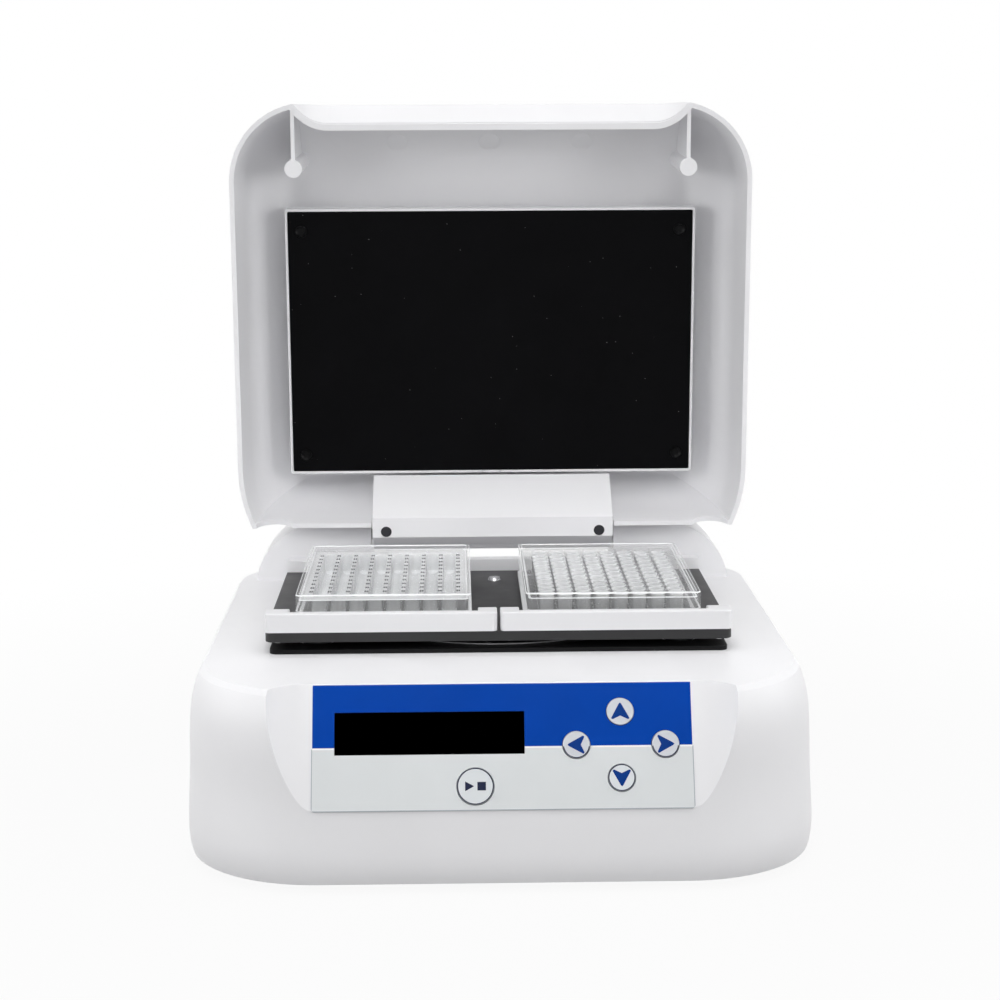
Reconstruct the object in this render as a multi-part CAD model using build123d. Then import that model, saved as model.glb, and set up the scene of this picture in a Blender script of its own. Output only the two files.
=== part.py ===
from build123d import *
from math import cos, radians, sin, sqrt, tan
import os

# Heated bench shaker for two microplates, with a hinged lid that holds a second heated plate.
# Millimetres. X to the right, Y to the rear, Z up. The origin is on the bench, under the middle
# of the housing. The lid is drawn closed and then swung open about its hinge axis.

# ---------------------------------------------------------------- driving dimensions
# Housing
housing_half_width = 146.8
housing_front_y = -152.0
housing_rear_y = 152.0
housing_height = 85.0
housing_wall = 3.0
housing_shoulder = 2.5
housing_shoulder_inset = 7.3
housing_front_lean = 13.5
front_corner_radius = 62.0
rear_corner_radius = 40.0
foot_tuck_side = 1.5
foot_tuck_front = 0.8
foot_height = 4.0
foot_radius = 8.0
foot_stem_radius = 3.0
foot_places = [(112, -100), (-112, -100), (104, 118), (-104, 118)]
pan_thickness = 2.5
column_places = [(125, -85), (-125, -85), (125, 122), (-125, 122)]
column_radius = 5.0
screw_radius = 1.5
screw_head_radius = 3.5
screw_head_height = 1.5
screw_depth = 12.0
vent_count = 9
vent_pitch = 8.0
vent_width = 3.0
vent_left = -122.0
vent_z = (24.0, 52.0)
pan_slot_count = 8
pan_slot_pitch = 9.0
pan_slot_length = 30.0

# Control panel recess
panel_tilt = 25.0
panel_width = 171.8
panel_height = 57.6
panel_margin = 0.5
recess_top_y = -122.2
scoop_half_width = 86.0
flank_radius = 25.0
overlay_thickness = 0.5

# Rear hump that carries the hinge
hump_half_width = 132.0
hump_shoulder_radius = 37.0
hump_front_y = 107.5
hump_rear_y = 150.0
hump_height = 31.4
hump_root = 9.0
hump_front_radius = 6.0
hump_rear_radius = 18.0
hump_wall = 2.2
hinge_gap_half_width = 67.5
bracket_plate = 3.0
bracket_foot = 26.0

# Lid
lid_half_width = 138.5
lid_front_y = -123.0
lid_rear_y = 106.7
lid_front_radius = 42.0
lid_rear_radius = 80.0
lid_rear_inset = 6.9
lid_height = 59.0
lid_seam = 0.5
lid_wall = 2.5
lid_straight_side = 18.0
lid_side_draft = 3.0
lid_rear_draft = 1.4
lid_side_sweep = 30.0
lid_rear_sweep = 16.0
lid_scoop_y = -111.6
lid_scoop_tilt = 39.0
lid_open_angle = 86.5
scoop_groove = 0.6
scoop_groove_above_rim = 0.35
rear_bite_x = 119.5
rear_bite_radius = 10.5
rear_bite_drop = 3.5
hinge_y = 116.3
hinge_above_top = 24.1
hinge_pin_radius = 3.0
hinge_barrel_radius = 8.6
hinge_block_half_width = 66.0
hinge_block_front_set = 5.1
hinge_block_rear_set = 3.9
block_boss_places = [(-42, 94), (42, 94)]
plug_radius = 3.0
plug_x = 58.5
plug_back = 7.0
post_x = 104.5
post_y = -88.5
post_radius = 4.65
lid_boss_radius = 4.5

# Heated plate in the lid
lid_plate_width = 221.6
lid_plate_depth = 144.7
lid_plate_front_y = -62.5
lid_plate_thickness = 3.0
lid_plate_face = 34.0
lid_plate_corner = 0.6
lid_plate_screw_x = 103.5
lid_plate_screw_y = (10.5, 135.5)
lid_plate_screw_radius = 3.4
frame_border = 1.5
frame_corner = 1.2
frame_depth = 12.5
frame_back = 2.5
frame_boss_places = [(x, y) for x in (-90, 90) for y in (-42, 62)]
frame_tab_width = 9.6
frame_tab_slot = 0.8

# Shaking tray
tray_width = 224.0
tray_depth = 152.0
tray_front_y = -66.0
tray_thickness = 4.7
tray_lift = 5.8
tray_screw_y = 54.0
rail_height = 6.2
rail_depth = 8.1
clamp_height = 9.2
clamp_gap = 1.5
clamp_bar_depth = 5.0
clamp_block_depth = 12.0
clamp_travel = 5.0
clamp_corner = 2.5
guide_radius = 1.7

# Microplates, standard footprint
plate_width = 85.48
plate_length = 127.76
plate_height = 14.35
plate_corner_radius = 3.18
plate_flange_height = 2.4
plate_step = 1.9
plate_pitch = 9.0
plate_rows = 8
plate_columns = 12
plate_spacing = 110.6
plate_lid_top = 17.0
plate_lid_wall = 1.1
plate_lid_skirt = 5.5
plate_lid_ledge = 2.4
well_radius = 3.45
well_depth = 10.7

# Shaking drive
orbit_radius = 1.5
heater_thickness = 2.0
heater_width = 220.0
heater_depth = 150.0
cover_disc_radius = 75.0
cover_disc_thickness = 1.8
centre_hole_radius = 17.0
main_shaft_radius = 6.0
housing_bore = 12.0
bearing_height = 8.0
drive_flange_radius = 30.0
drive_flange_thickness = 6.0
drive_drop = 36.0
crank_disc_radius = 11.0
crank_pin_radius = 4.0
tray_boss_radius = 14.0
tray_bearing_radius = 11.0
idler_x = 88.0
idler_y_spacing = 112.0
idler_shaft_radius = 3.0
idler_pin_radius = 2.5
idler_boss_radius = 7.5
idler_bearing_radius = 6.0
idler_web_radius = 6.0
bush_radius = 8.0
bush_height = 14.0
driven_pulley_radius = 36.0
motor_pulley_radius = 12.0
pulley_height = 8.0
pulley_flange = 0.8
pulley_drop = 46.0
counterweight_height = 9.0
motor_distance = 75.0
motor_radius = 20.0
motor_shaft_radius = 2.5
motor_boss_radius = 6.0
motor_bracket_width = 48.0
motor_bracket_reach = 32.0
belt_thickness = 1.5
belt_width = 6.0

# Clearances
running_gap = 0.05
loose_gap = 0.3
bearing_seat_gap = 0.02
slot_gap = 0.3
plate_lid_gap = 0.4
pocket_clearance = 2.6

# Keys and display, measured on the panel from its centre: right, up
key_radius = 6.1
start_key_radius = 8.25
key_travel = 0.4
key_flange = 0.9
key_stem_radius = 1.5
key_cross_x = 53.3
key_cross_y = 0.2
key_step_x = 20.1
key_step_y = 15.0
start_key_x = -12.4
start_key_y = -18.0
switch_height = 2.6
display_left = -75.5
display_width = 85.3
display_bottom = -3.4
display_height = 19.1
lens_flange = 1.0
key_board_size = (164.0, 48.0)
key_board_post = (78.0, 20.0)
pcb_depth = 8.0
pcb_thickness = 1.6

# Rear connectors
connector_pocket = 2.0
connector_half_height = 20.0
inlet_x = 100.0
inlet_z = 40.0
inlet_body = (27.0, 20.0)
inlet_flange = (48.0, 23.0)
inlet_mouth = (24.0, 16.5)
inlet_depth = 24.0
connector_lip = 1.4
switch_x = 60.0
switch_body = (13.0, 19.5)
switch_depth = 20.0
rocker_swing = 16.0
rocker_pivot_depth = 3.0
rocker_pin_radius = 1.2

# Electronics
board_level = 14.0
board_inset = 5.0
main_board_x = (-105.0, 30.0)
main_board_y = (-120.0, -50.0)
supply_x = (36.0, 116.0)
supply_y = (66.0, 132.0)

# ---------------------------------------------------------------- derived levels
base_bottom = foot_height
base_top = base_bottom + housing_height
ceiling = base_top - housing_wall
pan_top = base_bottom + pan_thickness
rear_floor_y = housing_rear_y - connector_pocket
rocker_pivot_y = rear_floor_y - rocker_pivot_depth
hinge_z = base_top + hinge_above_top
hinge_block_top = hinge_z + hinge_barrel_radius
lid_rim = base_top + lid_seam
lid_top = lid_rim + lid_height
plate_face_z = lid_rim + lid_plate_face
frame_top = plate_face_z + frame_depth
lid_plate_centre = (0, lid_plate_front_y + lid_plate_depth / 2)
tray_bottom = base_top + tray_lift
tray_top = tray_bottom + tray_thickness
tray_centre_y = tray_front_y + tray_depth / 2
shaft_y = tray_centre_y + orbit_radius
plate_front_y = tray_front_y + clamp_bar_depth + loose_gap
plate_centre_y = plate_front_y + plate_length / 2
plate_rear_y = plate_front_y + plate_length
pocket_inner_x = plate_spacing / 2 - plate_width / 2 - pocket_clearance
pocket_outer_x = plate_spacing / 2 + plate_width / 2 + pocket_clearance
drive_bottom = ceiling - drive_drop
bearing_levels = (drive_bottom, ceiling - drive_flange_thickness - 2 - bearing_height)
pulley_z = (ceiling - pulley_drop, ceiling - pulley_drop + pulley_height)
counterweight_z = (pulley_z[0] - 2 - counterweight_height, pulley_z[0] - 2)
crank_disc_z = (ceiling - drive_flange_thickness, ceiling + 0.5)
tray_boss_bottom = base_top - 1.0
idler_boss_bottom = base_top + 1.5
idler_web_z = (ceiling + 0.2, base_top - 0.8)
motor_x = -motor_distance
bracket_z = (drive_bottom, drive_bottom + bracket_plate)


# ---------------------------------------------------------------- small helpers
def block(x, y, z):
    """Box between pairs of low and high coordinates."""
    size = (x[1] - x[0], y[1] - y[0], z[1] - z[0])
    centre = ((x[0] + x[1]) / 2, (y[0] + y[1]) / 2, (z[0] + z[1]) / 2)
    return Pos(*centre) * Box(*size)


def rod(x, y, z, radius):
    """Upright cylinder between two heights."""
    return Pos(x, y, (z[0] + z[1]) / 2) * Cylinder(radius, z[1] - z[0])


def ring(x, y, z, outer, inner):
    """Upright tube between two heights."""
    return rod(x, y, z, outer) - rod(x, y, (z[0] - 1, z[1] + 1), inner)


def rod_x(x, y, z, radius):
    """Cylinder along X between two X coordinates."""
    return Pos((x[0] + x[1]) / 2, y, z) * Rot(0, 90, 0) * Cylinder(radius, x[1] - x[0])


def rounded_plate(width, depth, centre, z, radius):
    """Flat plate with rounded corners between two heights."""
    outline = Pos(centre[0], centre[1], z[0]) * RectangleRounded(width, depth, radius)
    return extrude(outline, z[1] - z[0])


def side_profile(points, half_width):
    """Prism along X from an outline in the YZ plane, centred on X = 0."""
    outline = Plane.YZ * make_face(Polyline(*points, close=True))
    return extrude(outline, half_width, both=True)


def mirrored(part):
    """A part and its mirror image across X = 0."""
    return [part, part.mirror(Plane.YZ)]


def group(parts):
    """Separate solids of one sub-part."""
    return Compound([solid for part in parts for solid in part.solids()])


def opened(part):
    """The lid's rest pose: swung open about the hinge axis."""
    swing = Pos(0, hinge_y, hinge_z) * Rot(-lid_open_angle, 0, 0) * Pos(0, -hinge_y, -hinge_z)
    return swing * part


def plan_outline(half_width, front_y, rear_y, front_radius, rear_radius, z):
    """Housing plan at one height: straight sides joined by corner arcs."""
    fx = half_width - front_radius
    fy = front_y + front_radius
    rx = half_width - rear_radius
    ry = rear_y - rear_radius
    edges = [
        Line((-fx, front_y), (fx, front_y)),
        CenterArc((fx, fy), front_radius, -90, 90),
        Line((half_width, fy), (half_width, ry)),
        CenterArc((rx, ry), rear_radius, 0, 90),
        Line((rx, rear_y), (-rx, rear_y)),
        CenterArc((-rx, ry), rear_radius, 90, 90),
        Line((-half_width, ry), (-half_width, fy)),
        CenterArc((-fx, fy), front_radius, 180, 90),
    ]
    return Pos(0, 0, z) * Face(Wire(edges))


def scoop(top_point, direction, grow):
    """Cutter with a flat floor and concave flanks, run along a sloping direction.

    The floor passes through top_point. grow moves floor and flanks outwards by a wall.
    """
    run_before = 60.0
    run_after = 110.0
    reach = 70.0
    flank = flank_radius + grow
    outer = scoop_half_width + flank
    section = Plane(origin=top_point, x_dir=(1, 0, 0), z_dir=direction)
    section = section.offset(-run_before)
    edges = [
        Line((-scoop_half_width, -grow), (scoop_half_width, -grow)),
        CenterArc((scoop_half_width, flank_radius), flank, -90, 90),
        Polyline((outer, flank_radius), (outer, reach), (-outer, reach), (-outer, flank_radius)),
        CenterArc((-scoop_half_width, flank_radius), flank, 180, 90),
    ]
    outline = section * make_face(edges)
    return extrude(outline, run_before + run_after)


# ---------------------------------------------------------------- housing
def tucked_outline(inset, z):
    """Housing plan at its foot, drawn in by an inset."""
    return plan_outline(
        housing_half_width - foot_tuck_side - inset,
        housing_front_y + foot_tuck_front + inset,
        housing_rear_y - foot_tuck_side / 2 - inset,
        front_corner_radius - inset,
        rear_corner_radius - inset,
        z,
    )


def housing_body(wall):
    """Barrel-sided housing, drawn a wall thickness smaller when wall is given.

    Each station is a height with the distances of side and front from the widest outline. The
    last step is the straight chamfer between the shoulder edge and the flat top.
    """
    stations = [
        (0, foot_tuck_side, foot_tuck_front),
        (0.07 * housing_height, 0.04 * housing_shoulder_inset, 0),
        (0.335 * housing_height, 0, 0.34 * housing_front_lean),
        (0.68 * housing_height, 0.08 * housing_shoulder_inset, 0.59 * housing_front_lean),
        (0.89 * housing_height, 0.39 * housing_shoulder_inset, 0.77 * housing_front_lean),
        (
            housing_height - housing_shoulder - wall,
            0.73 * housing_shoulder_inset,
            0.89 * housing_front_lean,
        ),
        (housing_height - wall, housing_shoulder_inset, housing_front_lean),
    ]
    sections = []
    for height, side, front in stations:
        sections.append(
            plan_outline(
                housing_half_width - side - wall,
                housing_front_y + front + wall,
                housing_rear_y - side / 2 - wall,
                front_corner_radius - wall,
                rear_corner_radius - wall,
                base_bottom + height,
            )
        )
    return loft(sections[:-1]) + loft(sections[-2:], ruled=True)


def panel_scoop(grow):
    """Recess for the control panel, cut into the housing's front."""
    down_slope = (0, -sin(radians(panel_tilt)), -cos(radians(panel_tilt)))
    return scoop((0, recess_top_y, base_top), down_slope, grow)


def panel_plane():
    """Plane on the recess floor, centred on the panel, facing outwards."""
    tilt = radians(panel_tilt)
    down = panel_height / 2 + panel_margin
    centre = (0, recess_top_y - down * sin(tilt), base_top - down * cos(tilt))
    return Plane(origin=centre, x_dir=(1, 0, 0), z_dir=(0, -cos(tilt), sin(tilt)))


def hump(wall):
    """Rear hump, in two halves either side of the hinge gap."""
    low = base_top - hump_root
    top = base_top + hump_height - wall
    front = hump_front_y + wall
    rear = hump_rear_y - wall
    front_radius = hump_front_radius - wall
    rear_radius = hump_rear_radius - wall
    half = hump_half_width - wall
    shoulder = hump_shoulder_radius - wall
    side = [
        Line((front, low), (front, top - front_radius)),
        CenterArc((front + front_radius, top - front_radius), front_radius, 90, 90),
        Line((front + front_radius, top), (rear - rear_radius, top)),
        CenterArc((rear - rear_radius, top - rear_radius), rear_radius, 0, 90),
        Polyline((rear, top - rear_radius), (rear, low), (front, low)),
    ]
    profile = [
        Polyline((-half, top - shoulder), (-half, low), (half, low), (half, top - shoulder)),
        CenterArc((half - shoulder, top - shoulder), shoulder, 0, 90),
        Line((half - shoulder, top), (-half + shoulder, top)),
        CenterArc((-half + shoulder, top - shoulder), shoulder, 90, 90),
    ]
    plan = plan_outline(
        half + 10, housing_front_y, rear, front_corner_radius, rear_corner_radius, low
    )
    body = extrude(Plane.YZ * make_face(side), hump_half_width, both=True)
    body = body & extrude(Plane.XZ * make_face(profile), housing_rear_y, both=True)
    body = body & extrude(plan, hump_root + hump_height)
    gap = hinge_gap_half_width + wall
    return body - block((-gap, gap), (0, housing_rear_y), (0, top + 1))


def key_places():
    """Name, place on the panel and radius of each key."""
    cross = (key_cross_x, key_cross_y)
    return [
        ("key_up", cross[0], cross[1] + key_step_y, key_radius),
        ("key_down", cross[0], cross[1] - key_step_y, key_radius),
        ("key_left", cross[0] - key_step_x, cross[1], key_radius),
        ("key_right", cross[0] + key_step_x, cross[1], key_radius),
        ("key_start", start_key_x, start_key_y, start_key_radius),
    ]


def on_panel(x, y, depth):
    """Place on the panel, with depth measured outwards from the recess floor."""
    return Location(panel_plane()) * Pos(x, y, depth)


def display_centre():
    """Centre of the display window on the panel."""
    return display_left + display_width / 2, display_bottom + display_height / 2


def idler_places():
    """Shaft axes of the four idler cranks."""
    half = idler_y_spacing / 2
    return [(x, shaft_y + y) for x in (-idler_x, idler_x) for y in (-half, half)]


def base_cover():
    """Moulded upper housing: walls, top, panel recess, humps, screw columns and bosses."""
    outer = housing_body(0) + hump(0) - panel_scoop(0)
    open_depth = 5.0
    mouth = tucked_outline(housing_wall, base_bottom - open_depth)
    inner = housing_body(housing_wall) + extrude(mouth, open_depth)
    inner = inner + hump(hump_wall) - panel_scoop(housing_wall)
    pocket_x = (switch_x - 20, inlet_x + 30)
    pocket_z = (inlet_z - connector_half_height, inlet_z + connector_half_height)
    inner = inner - block(
        (pocket_x[0] - housing_wall, pocket_x[1] + housing_wall),
        (rear_floor_y - housing_wall, housing_rear_y),
        (pocket_z[0] - housing_wall, pocket_z[1] + housing_wall),
    )
    cover = outer - inner
    for x, y in column_places:
        column = rod(x, y, (pan_top, base_top + hump_root), column_radius) & outer
        cover = cover + column - rod(x, y, (pan_top - 1, pan_top + screw_depth + 2), screw_radius + 0.1)
    for x, y in idler_places():
        cover = cover + rod(x, y, (ceiling - bush_height, ceiling), bush_radius + 3)
        cover = cover - rod(x, y, (ceiling - bush_height - 1, base_top + 1), bush_radius + running_gap)
    cover = cover - rod(0, shaft_y, (ceiling - 1, base_top + 1), centre_hole_radius)
    cover = cover - block(pocket_x, (rear_floor_y, housing_rear_y + 5), pocket_z)
    cover = cover - inlet_cutout() - switch_cutout()
    for side in (-1, 1):
        hole = (side * hinge_gap_half_width - 4, side * hinge_gap_half_width + 4)
        cover = cover - rod_x(hole, hinge_y, hinge_z, hinge_pin_radius + running_gap)
    cover = cover - panel_openings() + panel_standoffs()
    for i in range(vent_count):
        x = vent_left + i * vent_pitch
        cover = cover - block((x, x + vent_width), (housing_rear_y - 12, housing_rear_y + 5), vent_z)
    return cover


def panel_openings():
    """Holes through the recess floor for the keys and the display window."""
    holes = []
    for _, x, y, radius in key_places():
        holes.append(on_panel(x, y, 0) * Cylinder(radius + loose_gap, 4 * housing_wall))
    x, y = display_centre()
    window = Box(display_width + loose_gap, display_height + loose_gap, 4 * housing_wall)
    return holes + [on_panel(x, y, 0) * window]


def panel_standoffs():
    """Posts behind the recess floor that carry the key board."""
    length = pcb_depth - housing_wall
    posts = []
    for x in (-key_board_post[0], key_board_post[0]):
        for y in (-key_board_post[1], key_board_post[1]):
            place = on_panel(x, y, -housing_wall - length / 2 + 0.25)
            posts.append(place * Cylinder(2.5, length + 0.5 - 1e-3))
    return posts


def base_pan():
    """Bottom tray with standoffs, foot holes, countersunk screw holes and air slots."""
    pan = extrude(tucked_outline(housing_wall + loose_gap, base_bottom), pan_thickness)
    for x, y in board_posts():
        pan = pan + rod(x, y, (pan_top - 1, board_level), 3.0)
    through = (base_bottom - 1, pan_top + 1)
    for x, y in column_places:
        pan = pan - rod(x, y, through, screw_radius + loose_gap)
        sink = (base_bottom - 1, base_bottom + screw_head_height)
        pan = pan - rod(x, y, sink, screw_head_radius + loose_gap)
    for x, y in foot_places:
        pan = pan - rod(x, y, through, foot_stem_radius + 0.1)
    for i in range(pan_slot_count):
        y = -20 + i * pan_slot_pitch
        for x in (-118, 88):
            pan = pan - block((x, x + pan_slot_length), (y, y + 3), through)
    return pan


def board_posts():
    """Places of the posts under the main board and the power supply."""
    places = []
    for x_range, y_range in ((main_board_x, main_board_y), (supply_x, supply_y)):
        for x in (x_range[0] + board_inset, x_range[1] - board_inset):
            for y in (y_range[0] + board_inset, y_range[1] - board_inset):
                places.append((x, y))
    return places


def rubber_feet():
    """Four tapered feet, each held by a stem with a bulb above the pan."""
    feet = []
    for x, y in foot_places:
        pad = Pos(x, y, 0) * extrude(Circle(foot_radius), foot_height)
        pad = chamfer(pad.edges().sort_by(Axis.Z)[0], 1.0)
        stem = rod(x, y, (foot_height, pan_top + 0.2), foot_stem_radius)
        bulb = Pos(x, y, pan_top + 0.2) * extrude(Circle(foot_stem_radius + 1.0), 3, taper=20)
        feet.append(pad + stem + bulb)
    return group(feet)


def pan_screws():
    """Four countersunk screws from the pan into the housing's columns."""
    screws = []
    for x, y in column_places:
        seat = base_bottom + screw_head_height
        head = rod(x, y, (base_bottom + 0.2, seat), screw_head_radius)
        head = head - Pos(x, y, base_bottom + 0.2) * Box(4.0, 0.9, 1.0)
        screws.append(head + rod(x, y, (seat, pan_top + screw_depth), screw_radius))
    return group(screws)


# ---------------------------------------------------------------- control panel
def panel_overlay():
    """Thin printed overlay with holes for the keys and the window."""
    sheet = RectangleRounded(panel_width, panel_height, 1.5)
    for _, x, y, radius in key_places():
        sheet = sheet - Pos(x, y) * Circle(radius + loose_gap)
    x, y = display_centre()
    sheet = sheet - Pos(x, y) * Rectangle(display_width + loose_gap, display_height + loose_gap)
    return extrude(Location(panel_plane()) * sheet, overlay_thickness)


def display_window():
    """Dark lens with a flange behind the recess floor."""
    x, y = display_centre()
    depth = housing_wall + overlay_thickness
    lens = on_panel(x, y, overlay_thickness - depth / 2) * Box(display_width, display_height, depth)
    flange = Box(display_width + 3, display_height + 2, lens_flange)
    return lens + on_panel(x, y, -housing_wall - lens_flange / 2) * flange


def display_module():
    """Display block between the lens flange and the key board."""
    x, y = display_centre()
    thickness = pcb_depth - housing_wall - lens_flange
    place = on_panel(x, y, -pcb_depth + thickness / 2)
    return place * Box(display_width - 2, display_height - 2, thickness)


def key_board():
    """Circuit board with one small switch under each key."""
    board = on_panel(0, 0, -pcb_depth - pcb_thickness / 2) * Box(*key_board_size, pcb_thickness)
    for _, x, y, _ in key_places():
        board = board + on_panel(x, y, -pcb_depth + switch_height / 2) * Box(6, 6, switch_height)
    return board


def key(x, y, radius):
    """Key cap with a retaining flange behind the wall and a stem over its switch."""
    face = overlay_thickness + 0.5
    back = -housing_wall - 0.3
    stem_end = -pcb_depth + switch_height + key_travel + 0.1
    cap = on_panel(x, y, (face + back) / 2) * Cylinder(radius, face - back)
    flange = on_panel(x, y, back - 0.4) * Cylinder(radius + key_flange, 0.8)
    stem_length = back - 0.8 - stem_end
    stem = on_panel(x, y, stem_end + stem_length / 2) * Cylinder(key_stem_radius, stem_length)
    return cap + flange + stem


# ---------------------------------------------------------------- rear connectors
def inlet_cutout():
    """Hole in the rear wall for the mains inlet."""
    half_x, half_z = inlet_body[0] / 2 + 0.3, inlet_body[1] / 2 + 0.3
    return block(
        (inlet_x - half_x, inlet_x + half_x),
        (rear_floor_y - 10, housing_rear_y + 1),
        (inlet_z - half_z, inlet_z + half_z),
    )


def mains_inlet():
    """Appliance inlet: flange, body and a hollow with three flat contacts."""
    front = rear_floor_y + connector_lip
    body = block(
        (inlet_x - inlet_body[0] / 2, inlet_x + inlet_body[0] / 2),
        (rear_floor_y - inlet_depth, front),
        (inlet_z - inlet_body[1] / 2, inlet_z + inlet_body[1] / 2),
    )
    flange = Plane.XZ * (Pos(inlet_x, inlet_z) * RectangleRounded(*inlet_flange, 4))
    flange = Pos(0, front, 0) * extrude(flange, front - rear_floor_y)
    for side in (-20, 20):
        flange = flange - Pos(inlet_x + side, rear_floor_y, inlet_z) * Rot(90, 0, 0) * Cylinder(1.7, 8)
    hollow = Plane.XZ * (Pos(inlet_x, inlet_z) * Rectangle(*inlet_mouth))
    corners = hollow.vertices().sort_by(Axis.Z)[:2]
    hollow = Pos(0, front, 0) * extrude(chamfer(corners, 4), 17)
    inlet = body + flange - hollow
    for x, z in ((-7, 1.5), (7, 1.5), (0, -3.0)):
        contact = block(
            (inlet_x + x - 1, inlet_x + x + 1),
            (front - 17.5, front - 5.5),
            (inlet_z + z - 2, inlet_z + z + 2),
        )
        inlet = inlet + contact
    return inlet


def switch_cutout():
    """Hole in the rear wall for the power switch."""
    half_x, half_z = switch_body[0] / 2 + 1.0 + 0.2, switch_body[1] / 2 + 1.0 + 0.2
    return block(
        (switch_x - half_x, switch_x + half_x),
        (rear_floor_y - 10, housing_rear_y + 1),
        (inlet_z - half_z, inlet_z + half_z),
    )


def switch_frame():
    """Frame of the power switch, with pivot pins for the rocker."""
    wide, tall = switch_body[0] / 2, switch_body[1] / 2
    body = block(
        (switch_x - wide - 1, switch_x + wide + 1),
        (rear_floor_y - switch_depth, rear_floor_y),
        (inlet_z - tall - 1, inlet_z + tall + 1),
    )
    rim = block(
        (switch_x - wide - 2.2, switch_x + wide + 2.2),
        (rear_floor_y, rear_floor_y + connector_lip),
        (inlet_z - tall - 2.2, inlet_z + tall + 2.2),
    )
    well = block(
        (switch_x - wide, switch_x + wide),
        (rear_floor_y - 13, rear_floor_y + 5),
        (inlet_z - tall, inlet_z + tall),
    )
    pivot = rod_x((switch_x - wide - 0.5, switch_x + wide + 0.5), rocker_pivot_y, inlet_z, rocker_pin_radius)
    return body + rim - well + pivot


def power_rocker():
    """Rocker with two sloping faces, tipped to its off side."""
    half_x = switch_body[0] / 2 - 0.4
    reach = switch_body[1] / 2 - 1.2
    rise = 3.8
    face = rocker_pivot_y + rise
    drop = reach * tan(radians(rocker_swing / 2))
    points = [
        (face - 1.2, inlet_z),
        (face + drop, inlet_z + reach),
        (rocker_pivot_y - 2.5, inlet_z + reach - 0.8),
        (rocker_pivot_y - 4.5, inlet_z),
        (rocker_pivot_y - 2.5, inlet_z - reach + 0.8),
        (face + drop, inlet_z - reach),
    ]
    body = Pos(switch_x, 0, 0) * side_profile(points, half_x)
    bore = rocker_pin_radius + running_gap
    body = body - rod_x((switch_x - 10, switch_x + 10), rocker_pivot_y, inlet_z, bore)
    tip = Pos(0, rocker_pivot_y, inlet_z) * Rot(-rocker_swing / 2, 0, 0)
    return tip * Pos(0, -rocker_pivot_y, -inlet_z) * body


# ---------------------------------------------------------------- shaking drive
def drive_housing():
    """Flanged bearing housing screwed under the housing's top."""
    body = rod(0, shaft_y, (drive_bottom, ceiling), housing_bore + 5)
    body = body + rod(0, shaft_y, (ceiling - drive_flange_thickness, ceiling), drive_flange_radius)
    body = body - rod(0, shaft_y, (drive_bottom - 1, ceiling + 1), housing_bore - 2)
    for low in bearing_levels:
        body = body - rod(0, shaft_y, (low - 1, low + bearing_height), housing_bore)
    recess = (crank_disc_z[0] - 2, ceiling + 1)
    body = body - rod(0, shaft_y, recess, crank_disc_radius + orbit_radius)
    for i in range(4):
        place = Pos(0, shaft_y, ceiling) * Rot(0, 0, 45 + 90 * i) * Pos(drive_flange_radius - 6, 0)
        body = body - place * Cylinder(2, 3 * drive_flange_thickness)
    return body


def main_bearings():
    """Two ball bearings that carry the eccentric shaft."""
    outer = housing_bore - bearing_seat_gap
    bore = main_shaft_radius + running_gap
    rings = [ring(0, shaft_y, (low, low + bearing_height), outer, bore) for low in bearing_levels]
    return group(rings)


def eccentric_shaft():
    """Main shaft with a crank disc and an offset pin on top."""
    shaft = rod(0, shaft_y, (counterweight_z[0] - 1, crank_disc_z[0]), main_shaft_radius)
    disc = rod(0, shaft_y, crank_disc_z, crank_disc_radius)
    shoulder = rod(0, tray_centre_y, (crank_disc_z[1], tray_boss_bottom - 0.1), crank_pin_radius + 2)
    pin = rod(0, tray_centre_y, (crank_disc_z[1], tray_bottom - 0.4), crank_pin_radius)
    return shaft + disc + shoulder + pin


def pulley_flanges():
    """Heights of the two flanges of a belt pulley."""
    return (pulley_z[0], pulley_z[0] + pulley_flange), (pulley_z[1] - pulley_flange, pulley_z[1])


def driven_pulley():
    """Large belt pulley with flanges, hub and lightening holes."""
    pulley = rod(0, shaft_y, pulley_z, driven_pulley_radius)
    for z in pulley_flanges():
        pulley = pulley + rod(0, shaft_y, z, driven_pulley_radius + 2)
    for i in range(6):
        place = Pos(0, shaft_y, pulley_z[0]) * Rot(0, 0, 60 * i) * Pos(22, 0, 0)
        pulley = pulley - place * Cylinder(7, 3 * pulley_height)
    return pulley - rod(0, shaft_y, (pulley_z[0] - 1, pulley_z[1] + 1), main_shaft_radius)


def counterweight():
    """Half-round balance weight opposite the offset pin."""
    radius = driven_pulley_radius - 2
    weight = rod(0, shaft_y, counterweight_z, radius)
    cut_y = (shaft_y - radius - 1, shaft_y - main_shaft_radius - 3)
    through = (counterweight_z[0] - 1, counterweight_z[1] + 1)
    weight = weight - block((-radius, radius), cut_y, through)
    return weight - rod(0, shaft_y, through, main_shaft_radius)


def motor_body():
    """Motor can with an end boss, hanging its shaft downwards."""
    can = rod(motor_x, shaft_y, (bracket_z[1], ceiling - 2), motor_radius)
    can = fillet(can.edges().sort_by(Axis.Z)[-1], 2)
    bore = rod(motor_x, shaft_y, (bracket_z[0] - 5, ceiling - 8), motor_shaft_radius + running_gap)
    boss = rod(motor_x, shaft_y, (bracket_z[0] - 1, bracket_z[1]), motor_boss_radius)
    return can + boss - bore


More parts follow.
